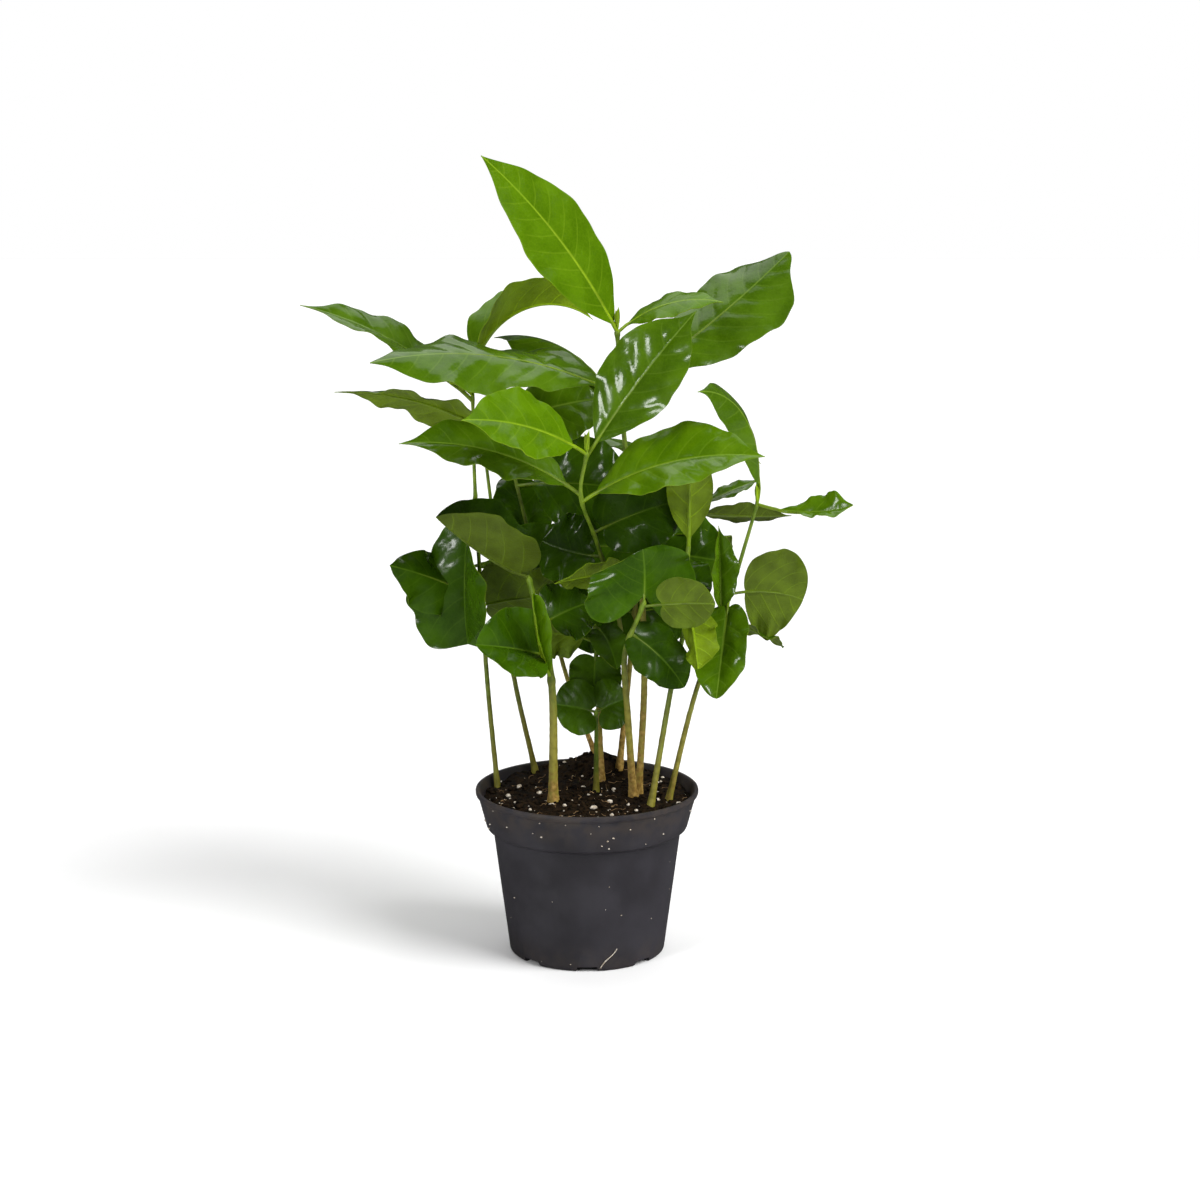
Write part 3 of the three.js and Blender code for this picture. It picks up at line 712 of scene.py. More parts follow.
around = [(chance.uniform(-30, 210), chance.uniform(71, 86)) for k in range(36)]
around += [(chance.uniform(-30, 210), chance.uniform(4, 64)) for k in range(18)]
speck_places = []
for angle, level in SEEN_SPECKS + around:
    turn = np.radians(angle)
    radius = wall_radius(level) + 0.05
    speck_places.append((radius * np.cos(turn), radius * np.sin(turn), level))
speck_sizes = chance.uniform(0.26, 0.56, len(speck_places))
speck_sizes *= [1.0 if z > 66 else 0.65 for x, y, z in speck_places]
speck_points, speck_faces = lumps_at(speck_places, speck_sizes, 0.3, 0.8)
angle_of = np.arctan2(speck_points[:, 1], speck_points[:, 0]) / (2 * np.pi) + 0.5
speck_flat = np.stack([angle_of, speck_points[:, 2] / POT_HEIGHT], axis=1)[speck_faces]
pot_specks = make_piece("pot_specks", speck_points, speck_faces, {"OFBake": speck_flat}, [perlite_white],
                        sharp_deg=LUMP_EDGES)
print("specks on the pot:", len(speck_places))

# %% [markdown]
# ## The seedlings
# Each seedling is a foot in the pot, a girth, the points that its stem passes, and its leaves. A leaf
# starts at a height z on the stem. Heading is seen from above (0 to the right, 90 away from the viewer),
# pitch is the climb, bend the droop, roll the turn about the midrib, and fold the lift of the two halves.
# A foliage leaf is long and pointed, and a seed leaf is as wide as long with a heart base. The age sets
# the colour: lime at the shoot's tip, then fresh, grown and old. Deep and shaded are not ages but painted
# shade for leaves inside the crown: deep is darker, and shaded is duller, with few highlights. The lists
# repeat the solids' own values, so the fine leaves fill the same space.

# %% Two kinds of leaf
FOLIAGE = dict(stalk=9, bend=20, roll=0, twist=0, fold=12, curl=0.1, wave=0.12, waves=3,
               belly=0.46, ends=2.1, lobe=0, age="grown", drip=0.5)
SEED = dict(stalk=8, bend=20, roll=0, twist=0, fold=10, curl=0.1, wave=0.16, waves=2.2,
            belly=0.47, ends=1.17, lobe=0.3, age="old", drip=0)


def leaf(kind, z, heading, pitch, length, width, **more):
    return {**kind, "z": z, "heading": heading, "pitch": pitch, "length": length, "width": width, **more}


print("a foliage leaf has", len(FOLIAGE), "shape values")

# %% Tall and middle seedlings
SEEDLINGS = {}
SEEDLINGS["tall"] = dict(
    foot=(28, 9), girth=1.9, bark=0.45,
    course=[(31, 12, 150), (28, 24, 215), (20, 14, 277), (16, 10, 334)], leaves=[
        leaf(FOLIAGE, 334, -160, 51, 114, 46, bend=22, roll=66, fold=6, wave=0.05, stalk=4, age="lime",
             drip=0.15),
        leaf(FOLIAGE, 333, -13, 17, 54, 27, bend=56, roll=-23, fold=1, wave=0.06, stalk=7, age="lime"),
        leaf(FOLIAGE, 300, -163, 9, 130, 50, bend=40, roll=25, twist=5, fold=-10, belly=0.57),
        leaf(FOLIAGE, 303, 24, 35, 113, 54, bend=-11, roll=-33, twist=18, fold=-6, wave=0.08,
             belly=0.66, ends=1.8),
        leaf(FOLIAGE, 284, 153, 29, 89, 50, bend=87, roll=-10, twist=7, fold=-16, curl=0.14, belly=0.5),
        leaf(FOLIAGE, 204, -133, 2, 58, 23, bend=10, roll=-49, twist=5, fold=8, age="grown")])
SEEDLINGS["centre"] = dict(
    foot=(25, 24), girth=1.6, bark=0.3,
    course=[(18, 20, 174), (6, 8, 220), (-3, -14, 250), (0, -25, 274)], leaves=[
        leaf(FOLIAGE, 272, 4, 53, 85, 46, bend=10, roll=-55, fold=14, curl=0.13, wave=0.06, belly=0.5),
        leaf(FOLIAGE, 274, -148, 17, 69, 42, bend=33, roll=51, fold=14, wave=0.08, age="lime"),
        leaf(FOLIAGE, 251, -172, 17, 92, 37, bend=44, roll=39, fold=13, curl=0.05, wave=0.14,
             age="grown"),
        leaf(FOLIAGE, 247, -18, 16, 95, 46, bend=40, roll=-41, twist=7, fold=16, wave=0.07, belly=0.49,
             age="fresh"),
        leaf(SEED, 214, 179, 15, 28, 44, bend=-24, roll=61, twist=17, fold=23, stalk=5, belly=0.53,
             age="deep"),
        leaf(SEED, 228, 17, 17, 47, 42, bend=16, roll=-74, stalk=6, age="deep")])
SEEDLINGS["front_left"] = dict(
    foot=(-18, -10), girth=2.5, bark=0.4,
    course=[(-19, -11, 153), (-31, 2, 205)], leaves=[
        leaf(SEED, 180, 35, 15, 28, 35, bend=17, roll=-51, fold=7, curl=-0.02, stalk=6, belly=0.41,
             lobe=0.16, age="old"),
        leaf(SEED, 204, -158, 35, 57, 56, bend=-17, roll=13, fold=53, curl=-0.07, wave=0.05, stalk=6,
             age="deep"),
        leaf(SEED, 164, -141, 15, 43, 47, bend=11, roll=56, twist=13, fold=28, wave=0.08, stalk=6,
             belly=0.41, lobe=0.08, age="old"),
        leaf(SEED, 152, -125, 72, 48, 19, bend=-31, roll=104, twist=21, fold=62, curl=0.16, wave=0.08,
             stalk=4, belly=0.67, lobe=0.1, age="fresh")])
SEEDLINGS["small_front"] = dict(foot=(5, 11), girth=1.5, bark=-0.1, course=[(5, 9, 131)], leaves=[
    leaf(SEED, 129, -165, 14, 21, 32, bend=10, roll=58, wave=0.05, stalk=3, lobe=0.4, age="shaded"),
    leaf(SEED, 129, -6, 26, 16, 30, bend=10, roll=-58, wave=0.05, stalk=3, lobe=0.4, age="shaded")])
SEEDLINGS["middle"] = dict(foot=(8, 27), girth=1.8, bark=0.7, course=[(5, 28, 160)], leaves=[
    leaf(SEED, 163, -166, 13, 22, 33, bend=30, roll=-69, curl=0.15, belly=0.55, lobe=0.18, age="shaded"),
    leaf(SEED, 172, -70, -26, 33, 20, bend=60, roll=-14, twist=10, fold=14, curl=0.03, stalk=6,
         belly=0.41, age="shaded"),
    leaf(SEED, 163, -97, -72, 24, 31, bend=22, roll=18, fold=16, belly=0.44, lobe=0.18, age="shaded")])
print("seedlings so far:", list(SEEDLINGS))

# %% Seedlings on the left
SEEDLINGS["far_left"] = dict(
    foot=(-49, 20), girth=1.4, bark=-0.3,
    course=[(-55, 27, 152), (-60, 28, 248), (-61, 30, 312)], leaves=[
        leaf(FOLIAGE, 295, 189, 30, 97, 32, bend=32, roll=22, twist=5, fold=20, curl=0.13, wave=0.1),
        leaf(FOLIAGE, 311, 26, 19, 81, 48, bend=114, roll=17, twist=36, fold=40, wave=0.06, belly=0.39,
             age="lime"),
        leaf(FOLIAGE, 298, -115, 20, 28, 16, roll=10, age="lime"),
        leaf(SEED, 245, -115, -83, 68, 63, bend=43, roll=-17, twist=47, fold=37, curl=0.11, wave=0.14,
             stalk=15, belly=0.7, ends=1.09, lobe=0.28, age="old"),
        leaf(SEED, 188, -145, 23, 54, 37, bend=10, roll=73, twist=-6, fold=-22, belly=0.4, ends=1.7,
             lobe=0.27, age="old"),
        leaf(SEED, 184, -14, 8, 42, 54, roll=52, stalk=3, age="shaded")])
SEEDLINGS["back_left"] = dict(
    foot=(-29, 44), girth=1.5, bark=-0.1,
    course=[(-42, 46, 150), (-52, 46, 236), (-55, 46, 262)], leaves=[
        leaf(FOLIAGE, 261, 108, -4, 80, 42, bend=50, age="fresh"),
        leaf(FOLIAGE, 217, 100, -16, 66, 42, bend=50),
        leaf(SEED, 199, 124, -10, 40, 38, bend=40),
        leaf(SEED, 208, -24, -4, 44, 42, roll=-60)])
SEEDLINGS["back_middle"] = dict(
    foot=(4, 46), girth=1.4, bark=0.5,
    course=[(-12, 50, 142), (-32, 52, 220), (-45, 50, 276)], leaves=[
        leaf(FOLIAGE, 270, -163, 18, 92, 37, bend=37, roll=-24, twist=14, fold=-2, belly=0.43),
        leaf(FOLIAGE, 280, 10, 12, 56, 46, roll=-55),
        leaf(FOLIAGE, 252, 58, -2, 78, 46, bend=56),
        leaf(FOLIAGE, 246, -20, 0, 60, 56, roll=-60, age="old"),
        leaf(SEED, 200, 70, -4, 42, 42, bend=40),
        leaf(SEED, 214, 120, 60, 34, 36)])
print("seedlings so far:", len(SEEDLINGS))

# %% Seedlings on the right
SEEDLINGS["back_right"] = dict(
    foot=(18, 37), girth=1.7, bark=0.6,
    course=[(25, 46, 160), (31, 46, 230), (33, 46, 256)], leaves=[
        leaf(FOLIAGE, 255, 36, -2, 74, 44, bend=50, age="fresh"),
        leaf(FOLIAGE, 256, 98, -2, 72, 44, bend=56, age="fresh"),
        leaf(FOLIAGE, 218, 36, -14, 60, 42, bend=50),
        leaf(FOLIAGE, 222, 116, -14, 64, 44, bend=50),
        leaf(FOLIAGE, 190, 66, -14, 60, 44, bend=50, age="old"),
        leaf(FOLIAGE, 212, 172, -4, 50, 42, roll=62, stalk=3, lobe=0.3, age="old"),
        leaf(FOLIAGE, 208, -8, -4, 42, 48, roll=-58, age="old"),
        leaf(SEED, 176, 172, 0, 44, 52, roll=62, stalk=2),
        leaf(SEED, 176, 0, 4, 36, 42, roll=-55, stalk=2)])
SEEDLINGS["front_centre"] = dict(
    foot=(25, 2), girth=2.1, bark=0.6,
    course=[(22, -6, 128), (20, -15, 166), (28, -20, 190)], leaves=[
        leaf(SEED, 195, 64, 93, 26, 66, bend=-30, roll=-53, twist=-5, fold=-1, wave=0.08, stalk=3,
             belly=0.4, lobe=0.48, age="old"),
        leaf(SEED, 193, -20, 6, 29, 29, bend=11, roll=79, fold=8, wave=0.06, stalk=11, belly=0.44),
        leaf(SEED, 178, 1, -46, 39, 29, bend=28, roll=-63, fold=8, stalk=2, ends=1.28, lobe=0.44,
             age="deep")])
SEEDLINGS["front_right"] = dict(
    foot=(34, -17), girth=1.7, bark=-0.1,
    course=[(45, -2, 145), (53, 0, 184), (54, 8, 218), (57, 14, 240)], leaves=[
        leaf(FOLIAGE, 237, 9, -3, 49, 16, bend=-8, roll=54, fold=27, stalk=5, age="deep"),
        leaf(FOLIAGE, 239, 20, 20, 32, 12, bend=10, roll=-20),
        leaf(FOLIAGE, 219, -83, 82, 58, 26, bend=8, roll=10, fold=18, stalk=5, age="fresh"),
        leaf(SEED, 190, -83, -38, 37, 27, bend=30, roll=135, fold=38, lobe=0.26, age="fresh"),
        leaf(SEED, 184, 95, 40, 34, 32)])
SEEDLINGS["right"] = dict(
    foot=(44, -4), girth=1.6, bark=0.15,
    course=[(58, 1, 141), (75, 8, 189), (85, 4, 225), (90, 0, 245)], leaves=[
        leaf(FOLIAGE, 243, -133, 53, 85, 30, bend=109, roll=61, fold=-17, curl=0.17, wave=0.05),
        leaf(FOLIAGE, 244, -24, 3, 43, 22, bend=-35, roll=-25, twist=-40, fold=31, stalk=11,
             belly=0.65, age="fresh"),
        leaf(FOLIAGE, 180, 131, 87, 46, 24, bend=2, roll=21, twist=-23, fold=51, curl=0.15, stalk=5),
        leaf(SEED, 192, -103, -53, 53, 31, bend=5, roll=-10, fold=16, stalk=6, age="grown"),
        leaf(SEED, 194, 3, -5, 32, 52, bend=33, roll=79, fold=-1, wave=0.07, belly=0.51, lobe=0.09,
             age="old"),
        leaf(SEED, 182, 30, -28, 36, 26, bend=10, fold=4)])
print("seedlings:", len(SEEDLINGS), "leaves:", sum(len(row["leaves"]) for row in SEEDLINGS.values()))

# %% [markdown]
# ## The stems
# A coffee seedling's stem is a thin rod, corky and tan at the foot, olive further up and bright green
# near its tip, with a swollen ring where each pair of leaves stood. A smooth curve through the seedling's
# points gives its line. A curve object with a bevel would be quick, but the rings and the fluted young
# wood need their own radius at each height and angle, so the tube is built as a grid.

# %% Stem lines
GROUND_GAP = 0.3
ABOVE_TOP_LEAF = 2
TIP_TAPER = 0.45
FLARE = 0.4
FLARE_HEIGHT = 5


def stem_line(row):
    """Points along a smooth curve from the foot through the seedling's course."""
    x, y = row["foot"]
    knots = np.array([(x, y, float(soil_height(x, y)) + GROUND_GAP)] + row["course"], dtype=float)
    knots = np.vstack([2 * knots[0] - knots[1], knots, 2 * knots[-1] - knots[-2]])
    line = []
    for k in range(1, len(knots) - 2):
        before, start, end, after = knots[k - 1:k + 3]
        t = np.linspace(0, 1, 60, endpoint=False)[:, None]
        line.append(0.5 * (2 * start + (end - before) * t
                           + (2 * before - 5 * start + 4 * end - after) * t ** 2
                           + (3 * start - before - 3 * end + after) * t ** 3))
    return np.vstack(line + [knots[-2:-1]])


def on_stem(line, heights):
    """Places on the stem at given heights, carried straight on past its last point."""
    heights = np.atleast_1d(np.asarray(heights, dtype=float))
    slope = (line[-1] - line[-2]) / (line[-1, 2] - line[-2, 2])
    inside = np.stack([np.interp(heights, line[:, 2], line[:, k]) for k in range(3)], axis=1)
    beyond = np.maximum(heights - line[-1, 2], 0)[:, None]
    return inside + slope * beyond


def stem_radius(row, heights, ground, top):
    rise = heights - ground
    flare = FLARE * np.exp(-np.maximum(rise, 0) / FLARE_HEIGHT)
    return row["girth"] * (1 - TIP_TAPER * rise / (top - ground) + flare)


LINES = {name: stem_line(row) for name, row in SEEDLINGS.items()}
print("tall stem ends at", LINES["tall"][-1].round().tolist())

# %% [markdown]
# ### Stem skin
# The colour runs with the age of the wood, from cork at the foot to green at the tip, and each seedling
# has a little more or less cork. That place along the stem is stored in a layer of flat coordinates named
# wood, which the material reads and turns into four colours. Fine cracks and dots come from the shared
# grain.

# %% Stem skin
stem_skin, tree, shader = open_material("stem_skin", {"Specular IOR Level": 0.4})
place = add(tree, "ShaderNodeUVMap", {}, uv_map="wood").outputs["UV"]
wood = add(tree, "ShaderNodeSeparateXYZ", {"Vector": place}).outputs["Y"]
cork = mottled(tree, 2.2, (134, 104, 46), (192, 158, 84))
olive = mottled(tree, 4, (112, 108, 32), (148, 140, 54))
green = mottled(tree, 5, (78, 92, 22), (108, 122, 40))
shoot = mottled(tree, 6, (90, 118, 20), (122, 148, 38))
ragged = calculate(tree, "ADD", wood, part_of(tree, olive["Patches"], 0.25))
lower = blend_colour(tree, fade(tree, ragged, 0.2, 0.6), cork["Colour"], olive["Colour"])
upper = blend_colour(tree, fade(tree, ragged, 0.7, 1.25), lower, green["Colour"])
whole = blend_colour(tree, fade(tree, ragged, 1.15, 1.65), upper, shoot["Colour"])
lay(tree, shader, whole)
tree.links.new(fade(tree, ragged, 0.2, 1.2, 0.72, 0.42), shader.inputs["Roughness"])
press_grain(tree, shader, 0.7, 0.2)
print("stem finish:", stem_skin.name)

# %% Stem tubes
STEM_SIDES = 16
SUNK = 2.0


def stem_tube(row, line):
    """Points, number of rings and wood coordinates of one stem with its rings, flutes and cork."""
    ground = line[0, 2]
    heights_of_leaves = [one["z"] for one in row["leaves"]]
    top = max(heights_of_leaves) + ABOVE_TOP_LEAF
    heights = np.arange(ground - SUNK, top + 0.1, 1.1)
    centre = on_stem(line, heights)
    centre[:, 2] = heights
    radius = stem_radius(row, heights, ground, top)
    for z in heights_of_leaves:
        radius = radius * (1 + 0.24 * np.exp(-((heights - z + 0.5) / 2.0) ** 2))
    radius[-1] *= 0.35
    radius[-2] *= 0.8
    angle = np.linspace(0, 2 * np.pi, STEM_SIDES, endpoint=False)
    share = np.clip((heights - ground) / (top - ground), 0, 1)
    flutes = 0.05 * share[:, None] * np.cos(4 * angle)[None, :]
    bark = np.array([[noise.noise(Vector((2.2 * np.cos(a), 2.2 * np.sin(a), z * 0.35 + row["girth"] * 40)))
                      for a in angle] for z in heights])
    swell = radius[:, None] * (1 + flutes + (0.1 - 0.06 * share[:, None]) * bark)
    x = centre[:, 0, None] + swell * np.cos(angle)
    y = centre[:, 1, None] + swell * np.sin(angle)
    points = np.stack([x, y, np.repeat(heights[:, None], STEM_SIDES, axis=1)], axis=-1).reshape(-1, 3)
    age = np.clip(share * 1.5 + 0.45 - 0.75 * row["bark"], 0, 1.6)
    return points, len(heights), age


print("sides of a stem:", STEM_SIDES)

# %% All stems
stem_parts, wood_layers, stem_layouts = [], [], []
for number, (name, row) in enumerate(SEEDLINGS.items()):
    points, rows, age = stem_tube(row, LINES[name])
    faces = tube_faces(rows, STEM_SIDES)
    stem_parts.append((points, faces))
    age_of_corner = age[faces // STEM_SIDES]
    wood_layers.append(np.stack([0 * age_of_corner, age_of_corner], axis=-1))
    low = (number + 0.1) / len(SEEDLINGS)
    stem_layouts.append(tube_layout(rows, STEM_SIDES, 0.01, low, 0.98, 0.8 / len(SEEDLINGS)))
stem_points, stem_faces = join(stem_parts)
stems = make_piece("stems", stem_points, stem_faces,
                   {"wood": np.vstack(wood_layers), "OFBake": np.vstack(stem_layouts)}, [stem_skin])
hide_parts(*[f"stem_{name}" for name in SEEDLINGS])
print("stem triangles:", triangles(stems))

# %% [markdown]
# ## The leaf finishes
# A coffee leaf is glossy and waxy above, with a pale midrib and side veins that arch towards the margin,
# and matt and paler below, where the veins stand out. The vein pattern belongs to the leaf and not to the
# room, so each leaf carries two layers of flat coordinates: veins (the number of the side vein, and the
# distance from the midrib in millimetres) and blade (the share of the length, and of the half-width). One
# group turns them into masks that the upper and under side materials use.

# %% Veins
veins, given, result = open_group(
    "leaf_veins", [("Vein width", FLOAT, 0.06)],
    [("Midrib", FLOAT), ("Side veins", FLOAT), ("Net", FLOAT), ("Margin", FLOAT)])
vein_place = add(veins, "ShaderNodeUVMap", {}, uv_map="veins").outputs["UV"]
blade_place = add(veins, "ShaderNodeUVMap", {}, uv_map="blade").outputs["UV"]
number = add(veins, "ShaderNodeSeparateXYZ", {"Vector": vein_place}).outputs
share = add(veins, "ShaderNodeSeparateXYZ", {"Vector": blade_place}).outputs
beside = calculate(veins, "PINGPONG", number["X"], 0.5)
line = fade(veins, beside, 0.0, given["Vein width"], 1.0, 0.0)
side_veins = calculate(veins, "MULTIPLY", line, fade(veins, share["Y"], 0.55, 1.0, 1.0, 0.0))
rib_width = fade(veins, share["X"], 0.0, 1.0, 1.3, 0.5)
midrib = fade(veins, calculate(veins, "DIVIDE", number["Y"], rib_width), 0.35, 1.0, 1.0, 0.0)
place = add(veins, "ShaderNodeTexCoord", {}).outputs["Object"]
fields = add(veins, "ShaderNodeTexVoronoi", {"Vector": place, "Scale": 420.0}, feature="DISTANCE_TO_EDGE")
net = fade(veins, fields.outputs["Distance"], 0.0, 0.12, 1.0, 0.0)
margin = fade(veins, share["Y"], 0.955, 1.0)
for label, socket in (("Midrib", midrib), ("Side veins", side_veins), ("Net", net), ("Margin", margin)):
    veins.links.new(socket, result[label])
print("group:", veins.name)

# %% [markdown]
# ### Upper and lower sides
# Four ages of leaf, and two copies with painted shade for leaves inside the crown (deep is darker,
# shaded is duller, with few highlights), share one recipe and differ in their colours and gloss. Above,
# the colour is mottled, the veins are lightened, and a clear waxy coat lies on top, which gives the
# small hard highlights. Below there is no coat, the veins stand out, and the colour is olive.

# %% Leaf colours
LEAF_AGES_AND_SHADES = {
    "lime": dict(dark=(70, 105, 1), light=(84, 121, 2), vein=(120, 152, 28),
                 under=(120, 148, 10), wax=0.22, coat=0.08),
    "fresh": dict(dark=(73, 109, 2), light=(89, 125, 4), vein=(112, 146, 34),
                  under=(112, 138, 12), wax=0.17, coat=0.2),
    "grown": dict(dark=(61, 93, 2), light=(77, 111, 5), vein=(102, 132, 38),
                  under=(100, 124, 12), wax=0.18, coat=0.25),
    "old": dict(dark=(40, 69, 1), light=(56, 89, 3), vein=(76, 108, 20),
                under=(92, 114, 16), wax=0.18, coat=0.2),
    # deep and shaded are painted shade for leaves inside the crown, darker and duller than old, not ages
    "deep": dict(dark=(29, 53, 1), light=(42, 69, 3), vein=(56, 82, 14),
                 under=(78, 96, 14), wax=0.2, coat=0.12),
    "shaded": dict(dark=(43, 69, 1), light=(60, 91, 3), vein=(66, 98, 12),
                   under=(84, 106, 10), wax=0.34, coat=0.03)}
print("ages of leaf:", list(LEAF_AGES_AND_SHADES))

# %% Upper side
SKIN_SHINE = 0.1
COAT_SHINE = 0.7
COAT_ROUGHNESS = 0.06
PALE_ABOVE = {"Side veins": 0.32, "Net": 0.1, "Midrib": 0.9, "Margin": 0.35}


def upper_side(age, tint):
    coat = tint["coat"]
    shine = SKIN_SHINE + COAT_SHINE * coat
    gloss = {"Specular IOR Level": shine, "Coat Weight": coat, "Coat Roughness": COAT_ROUGHNESS}
    material, tree, shader = open_material(f"leaf_{age}_upper", gloss)
    skin = mottled(tree, 16, tint["dark"], tint["light"])
    lines = use_group(tree, veins, {"Vein width": 0.07})
    colour = skin["Colour"]
    for label, amount in PALE_ABOVE.items():
        colour = blend_colour(tree, part_of(tree, lines[label], amount), colour, paint(*tint["vein"]))
    lay(tree, shader, colour, skin["Patches"], (tint["wax"], tint["wax"] + 0.08))
    press_grain(tree, shader, 5.5, 0.6, 0.6)
    return material


print("shine of a fresh leaf:", round(SKIN_SHINE + COAT_SHINE * LEAF_AGES_AND_SHADES["fresh"]["coat"], 2))


# %% Under side and rib
def lower_side(age, tint):
    material, tree, shader = open_material(f"leaf_{age}_under", {"Specular IOR Level": 0.22})
    under = np.array(tint["under"])
    skin = mottled(tree, 12, under * 0.88, under * 1.06)
    lines = use_group(tree, veins, {"Vein width": 0.06})
    both = calculate(tree, "MAXIMUM", lines["Midrib"], part_of(tree, lines["Side veins"], 0.6))
    colour = blend_colour(tree, both, skin["Colour"], paint(*(under * 1.25)))
    lay(tree, shader, colour, skin["Patches"], (0.42, 0.55))
    relief = calculate(tree, "ADD", lines["Net"], part_of(tree, lines["Side veins"], 2.0))
    press(tree, shader, relief, 0.15, 0.5)
    return material


def rib_skin(age, tint):
    material, tree, shader = open_material(f"leaf_{age}_rib", {"Roughness": 0.38})
    pale = np.array(tint["under"])
    lay(tree, shader, mottled(tree, 5, pale * 0.95, pale * 1.15)["Colour"])
    press_grain(tree, shader, 0.5, 0.05)
    return material


print("under side of an old leaf:", LEAF_AGES_AND_SHADES["old"]["under"])

# %% Leaf materials
LEAF_PAINTS = []
for age, tint in LEAF_AGES_AND_SHADES.items():
    LEAF_PAINTS += [upper_side(age, tint), lower_side(age, tint), rib_skin(age, tint)]
AGE_AND_SHADE_SLOT = {age: 3 * k for k, age in enumerate(LEAF_AGES_AND_SHADES)}
print("leaf materials:", [material.name for material in LEAF_PAINTS])

# %% [markdown]
# ## The shape of a leaf
# The midrib is a line that leaves the stem and droops. At each point along it a cross-section is set
# square to it, turned by the roll and folded along the middle, with margins that wave. The source of the
# solids uses the same rule with seven sections. Here there are many more, so there is room for the tip to
# be drawn out, for a groove over the midrib, and for the skin to swell between the veins, which breaks up
# the light as on a real leaf.

# %% Midrib
def leaf_axes(one, share):
    """Unit directions along, across and out of the leaf at shares of its whole length."""
    share = np.asarray(share, dtype=float)
    heading = np.radians(one["heading"])
    climb = np.radians(one["pitch"] + one["bend"] * (0.5 - share))
    flat, steep = np.cos(climb), np.sin(climb)
    along = np.stack([flat * np.cos(heading), flat * np.sin(heading), steep], axis=-1)
    level = np.array([np.sin(heading), -np.cos(heading), 0.0])
    upward = np.cross(level, along)
    turn = np.radians(one["roll"] + one["twist"] * (share - 0.5))[..., None]
    side = level * np.cos(turn) + upward * np.sin(turn)
    face = upward * np.cos(turn) - level * np.sin(turn)
    return along, side, face


def midrib_at(one, root, shares):
    """Places on the midrib, which starts in the middle of the stem."""
    steps = 240
    total = one["stalk"] + one["length"]
    along = leaf_axes(one, (np.arange(steps) + 0.5) / steps)[0]
    path = np.vstack([root, root + np.cumsum(along * total / steps, axis=0)])
    even = np.linspace(0, 1, steps + 1)
    return np.stack([np.interp(shares, even, path[:, k]) for k in range(3)], axis=-1)


def half_width(one, blade):
    """Half the width of the blade along its length, drawn in towards a drip tip."""
    rise = one["ends"] * one["belly"]
    fall = one["ends"] * (1 - one["belly"])
    body = (blade / one["belly"]) ** rise * ((1 - blade) / (1 - one["belly"])) ** fall
    near_tip = np.clip((blade - 0.8) / 0.16, 0, 1)
    return one["width"] / 2 * body * (1 - one["drip"] * near_tip ** 2 * (3 - 2 * near_tip))


tall_leaf = SEEDLINGS["tall"]["leaves"][0]
print("top leaf is", round(2 * float(half_width(tall_leaf, np.array(0.46)))), "mm wide at its belly")

# %% Blade
ALONG = 72
ACROSS = 28
QUILT = {"lime": 0.22, "fresh": 0.5, "grown": 0.5, "old": 0.4, "deep": 0.4, "shaded": 0.4}


def blade_surface(one, root):
    """The middle sheet of a blade, with the coordinates that its veins need."""
    total = one["stalk"] + one["length"]
    even = np.linspace(0, 1, ALONG + 1)
    s = 0.6 * even + 0.2 * (1 - np.cos(np.pi * even))
    t = np.linspace(-1, 1, ACROSS + 1)
    share = (one["stalk"] + one["length"] * s) / total
    along, side, face = (axis[:, None, :] for axis in leaf_axes(one, share))
    width = half_width(one, s)
    half = np.maximum(width, np.where(s < 0.5, 0.8, 0.18))[:, None]
    reach = np.abs(t)[None, :]
    fold = np.radians(one["fold"])
    phase = 0.37 * (one["z"] + one["heading"]) + np.where(t < 0, 0, 2.1)[None, :]
    waves = 2 * np.pi * one["waves"] * s[:, None]
    ripple = one["wave"] * reach ** 2 * np.sin(waves + phase)
    frill = 0.3 * one["wave"] * reach ** 4 * np.sin(2.6 * waves + 1.7 * phase)
    lift = half * (reach * np.sin(fold) - one["curl"] * reach ** 2 + ripple + frill)
    set_back = (one["lobe"] * 2 * width * (1 - s) ** 3)[:, None]
    sheet = (midrib_at(one, root, share)[:, None, :] + side * (half * t * np.cos(fold))[..., None]
             + face * lift[..., None] - along * (set_back * reach ** 1.5)[..., None])
    return sheet, s, t, half


def sheet_normals(sheet):
    by_length = np.gradient(sheet, axis=0)
    by_width = np.gradient(sheet, axis=1)
    normals = np.cross(by_width, by_length)
    return normals / np.maximum(np.linalg.norm(normals, axis=2), 1e-9)[..., None]


VEIN_SPACING = 11.5


def vein_numbers(one, s, t, half):
    """Which side vein each point is on or between, from the base up, and how far the midrib is."""
    pairs = np.clip(round(one["length"] / VEIN_SPACING), 4, 10)
    distance = half * np.abs(t)[None, :]
    arch = distance / one["length"] * (0.5 + 0.45 * np.abs(t)[None, :])
    return pairs * (s[:, None] - arch), distance


sheet, s, t, half = blade_surface(tall_leaf, np.zeros(3))
print("points in one sheet:", sheet.shape[0] * sheet.shape[1])


# %% Relief between the veins
LEFT_VEINS = 0.0
RIGHT_VEINS = 0.4
THICKNESS = 0.36


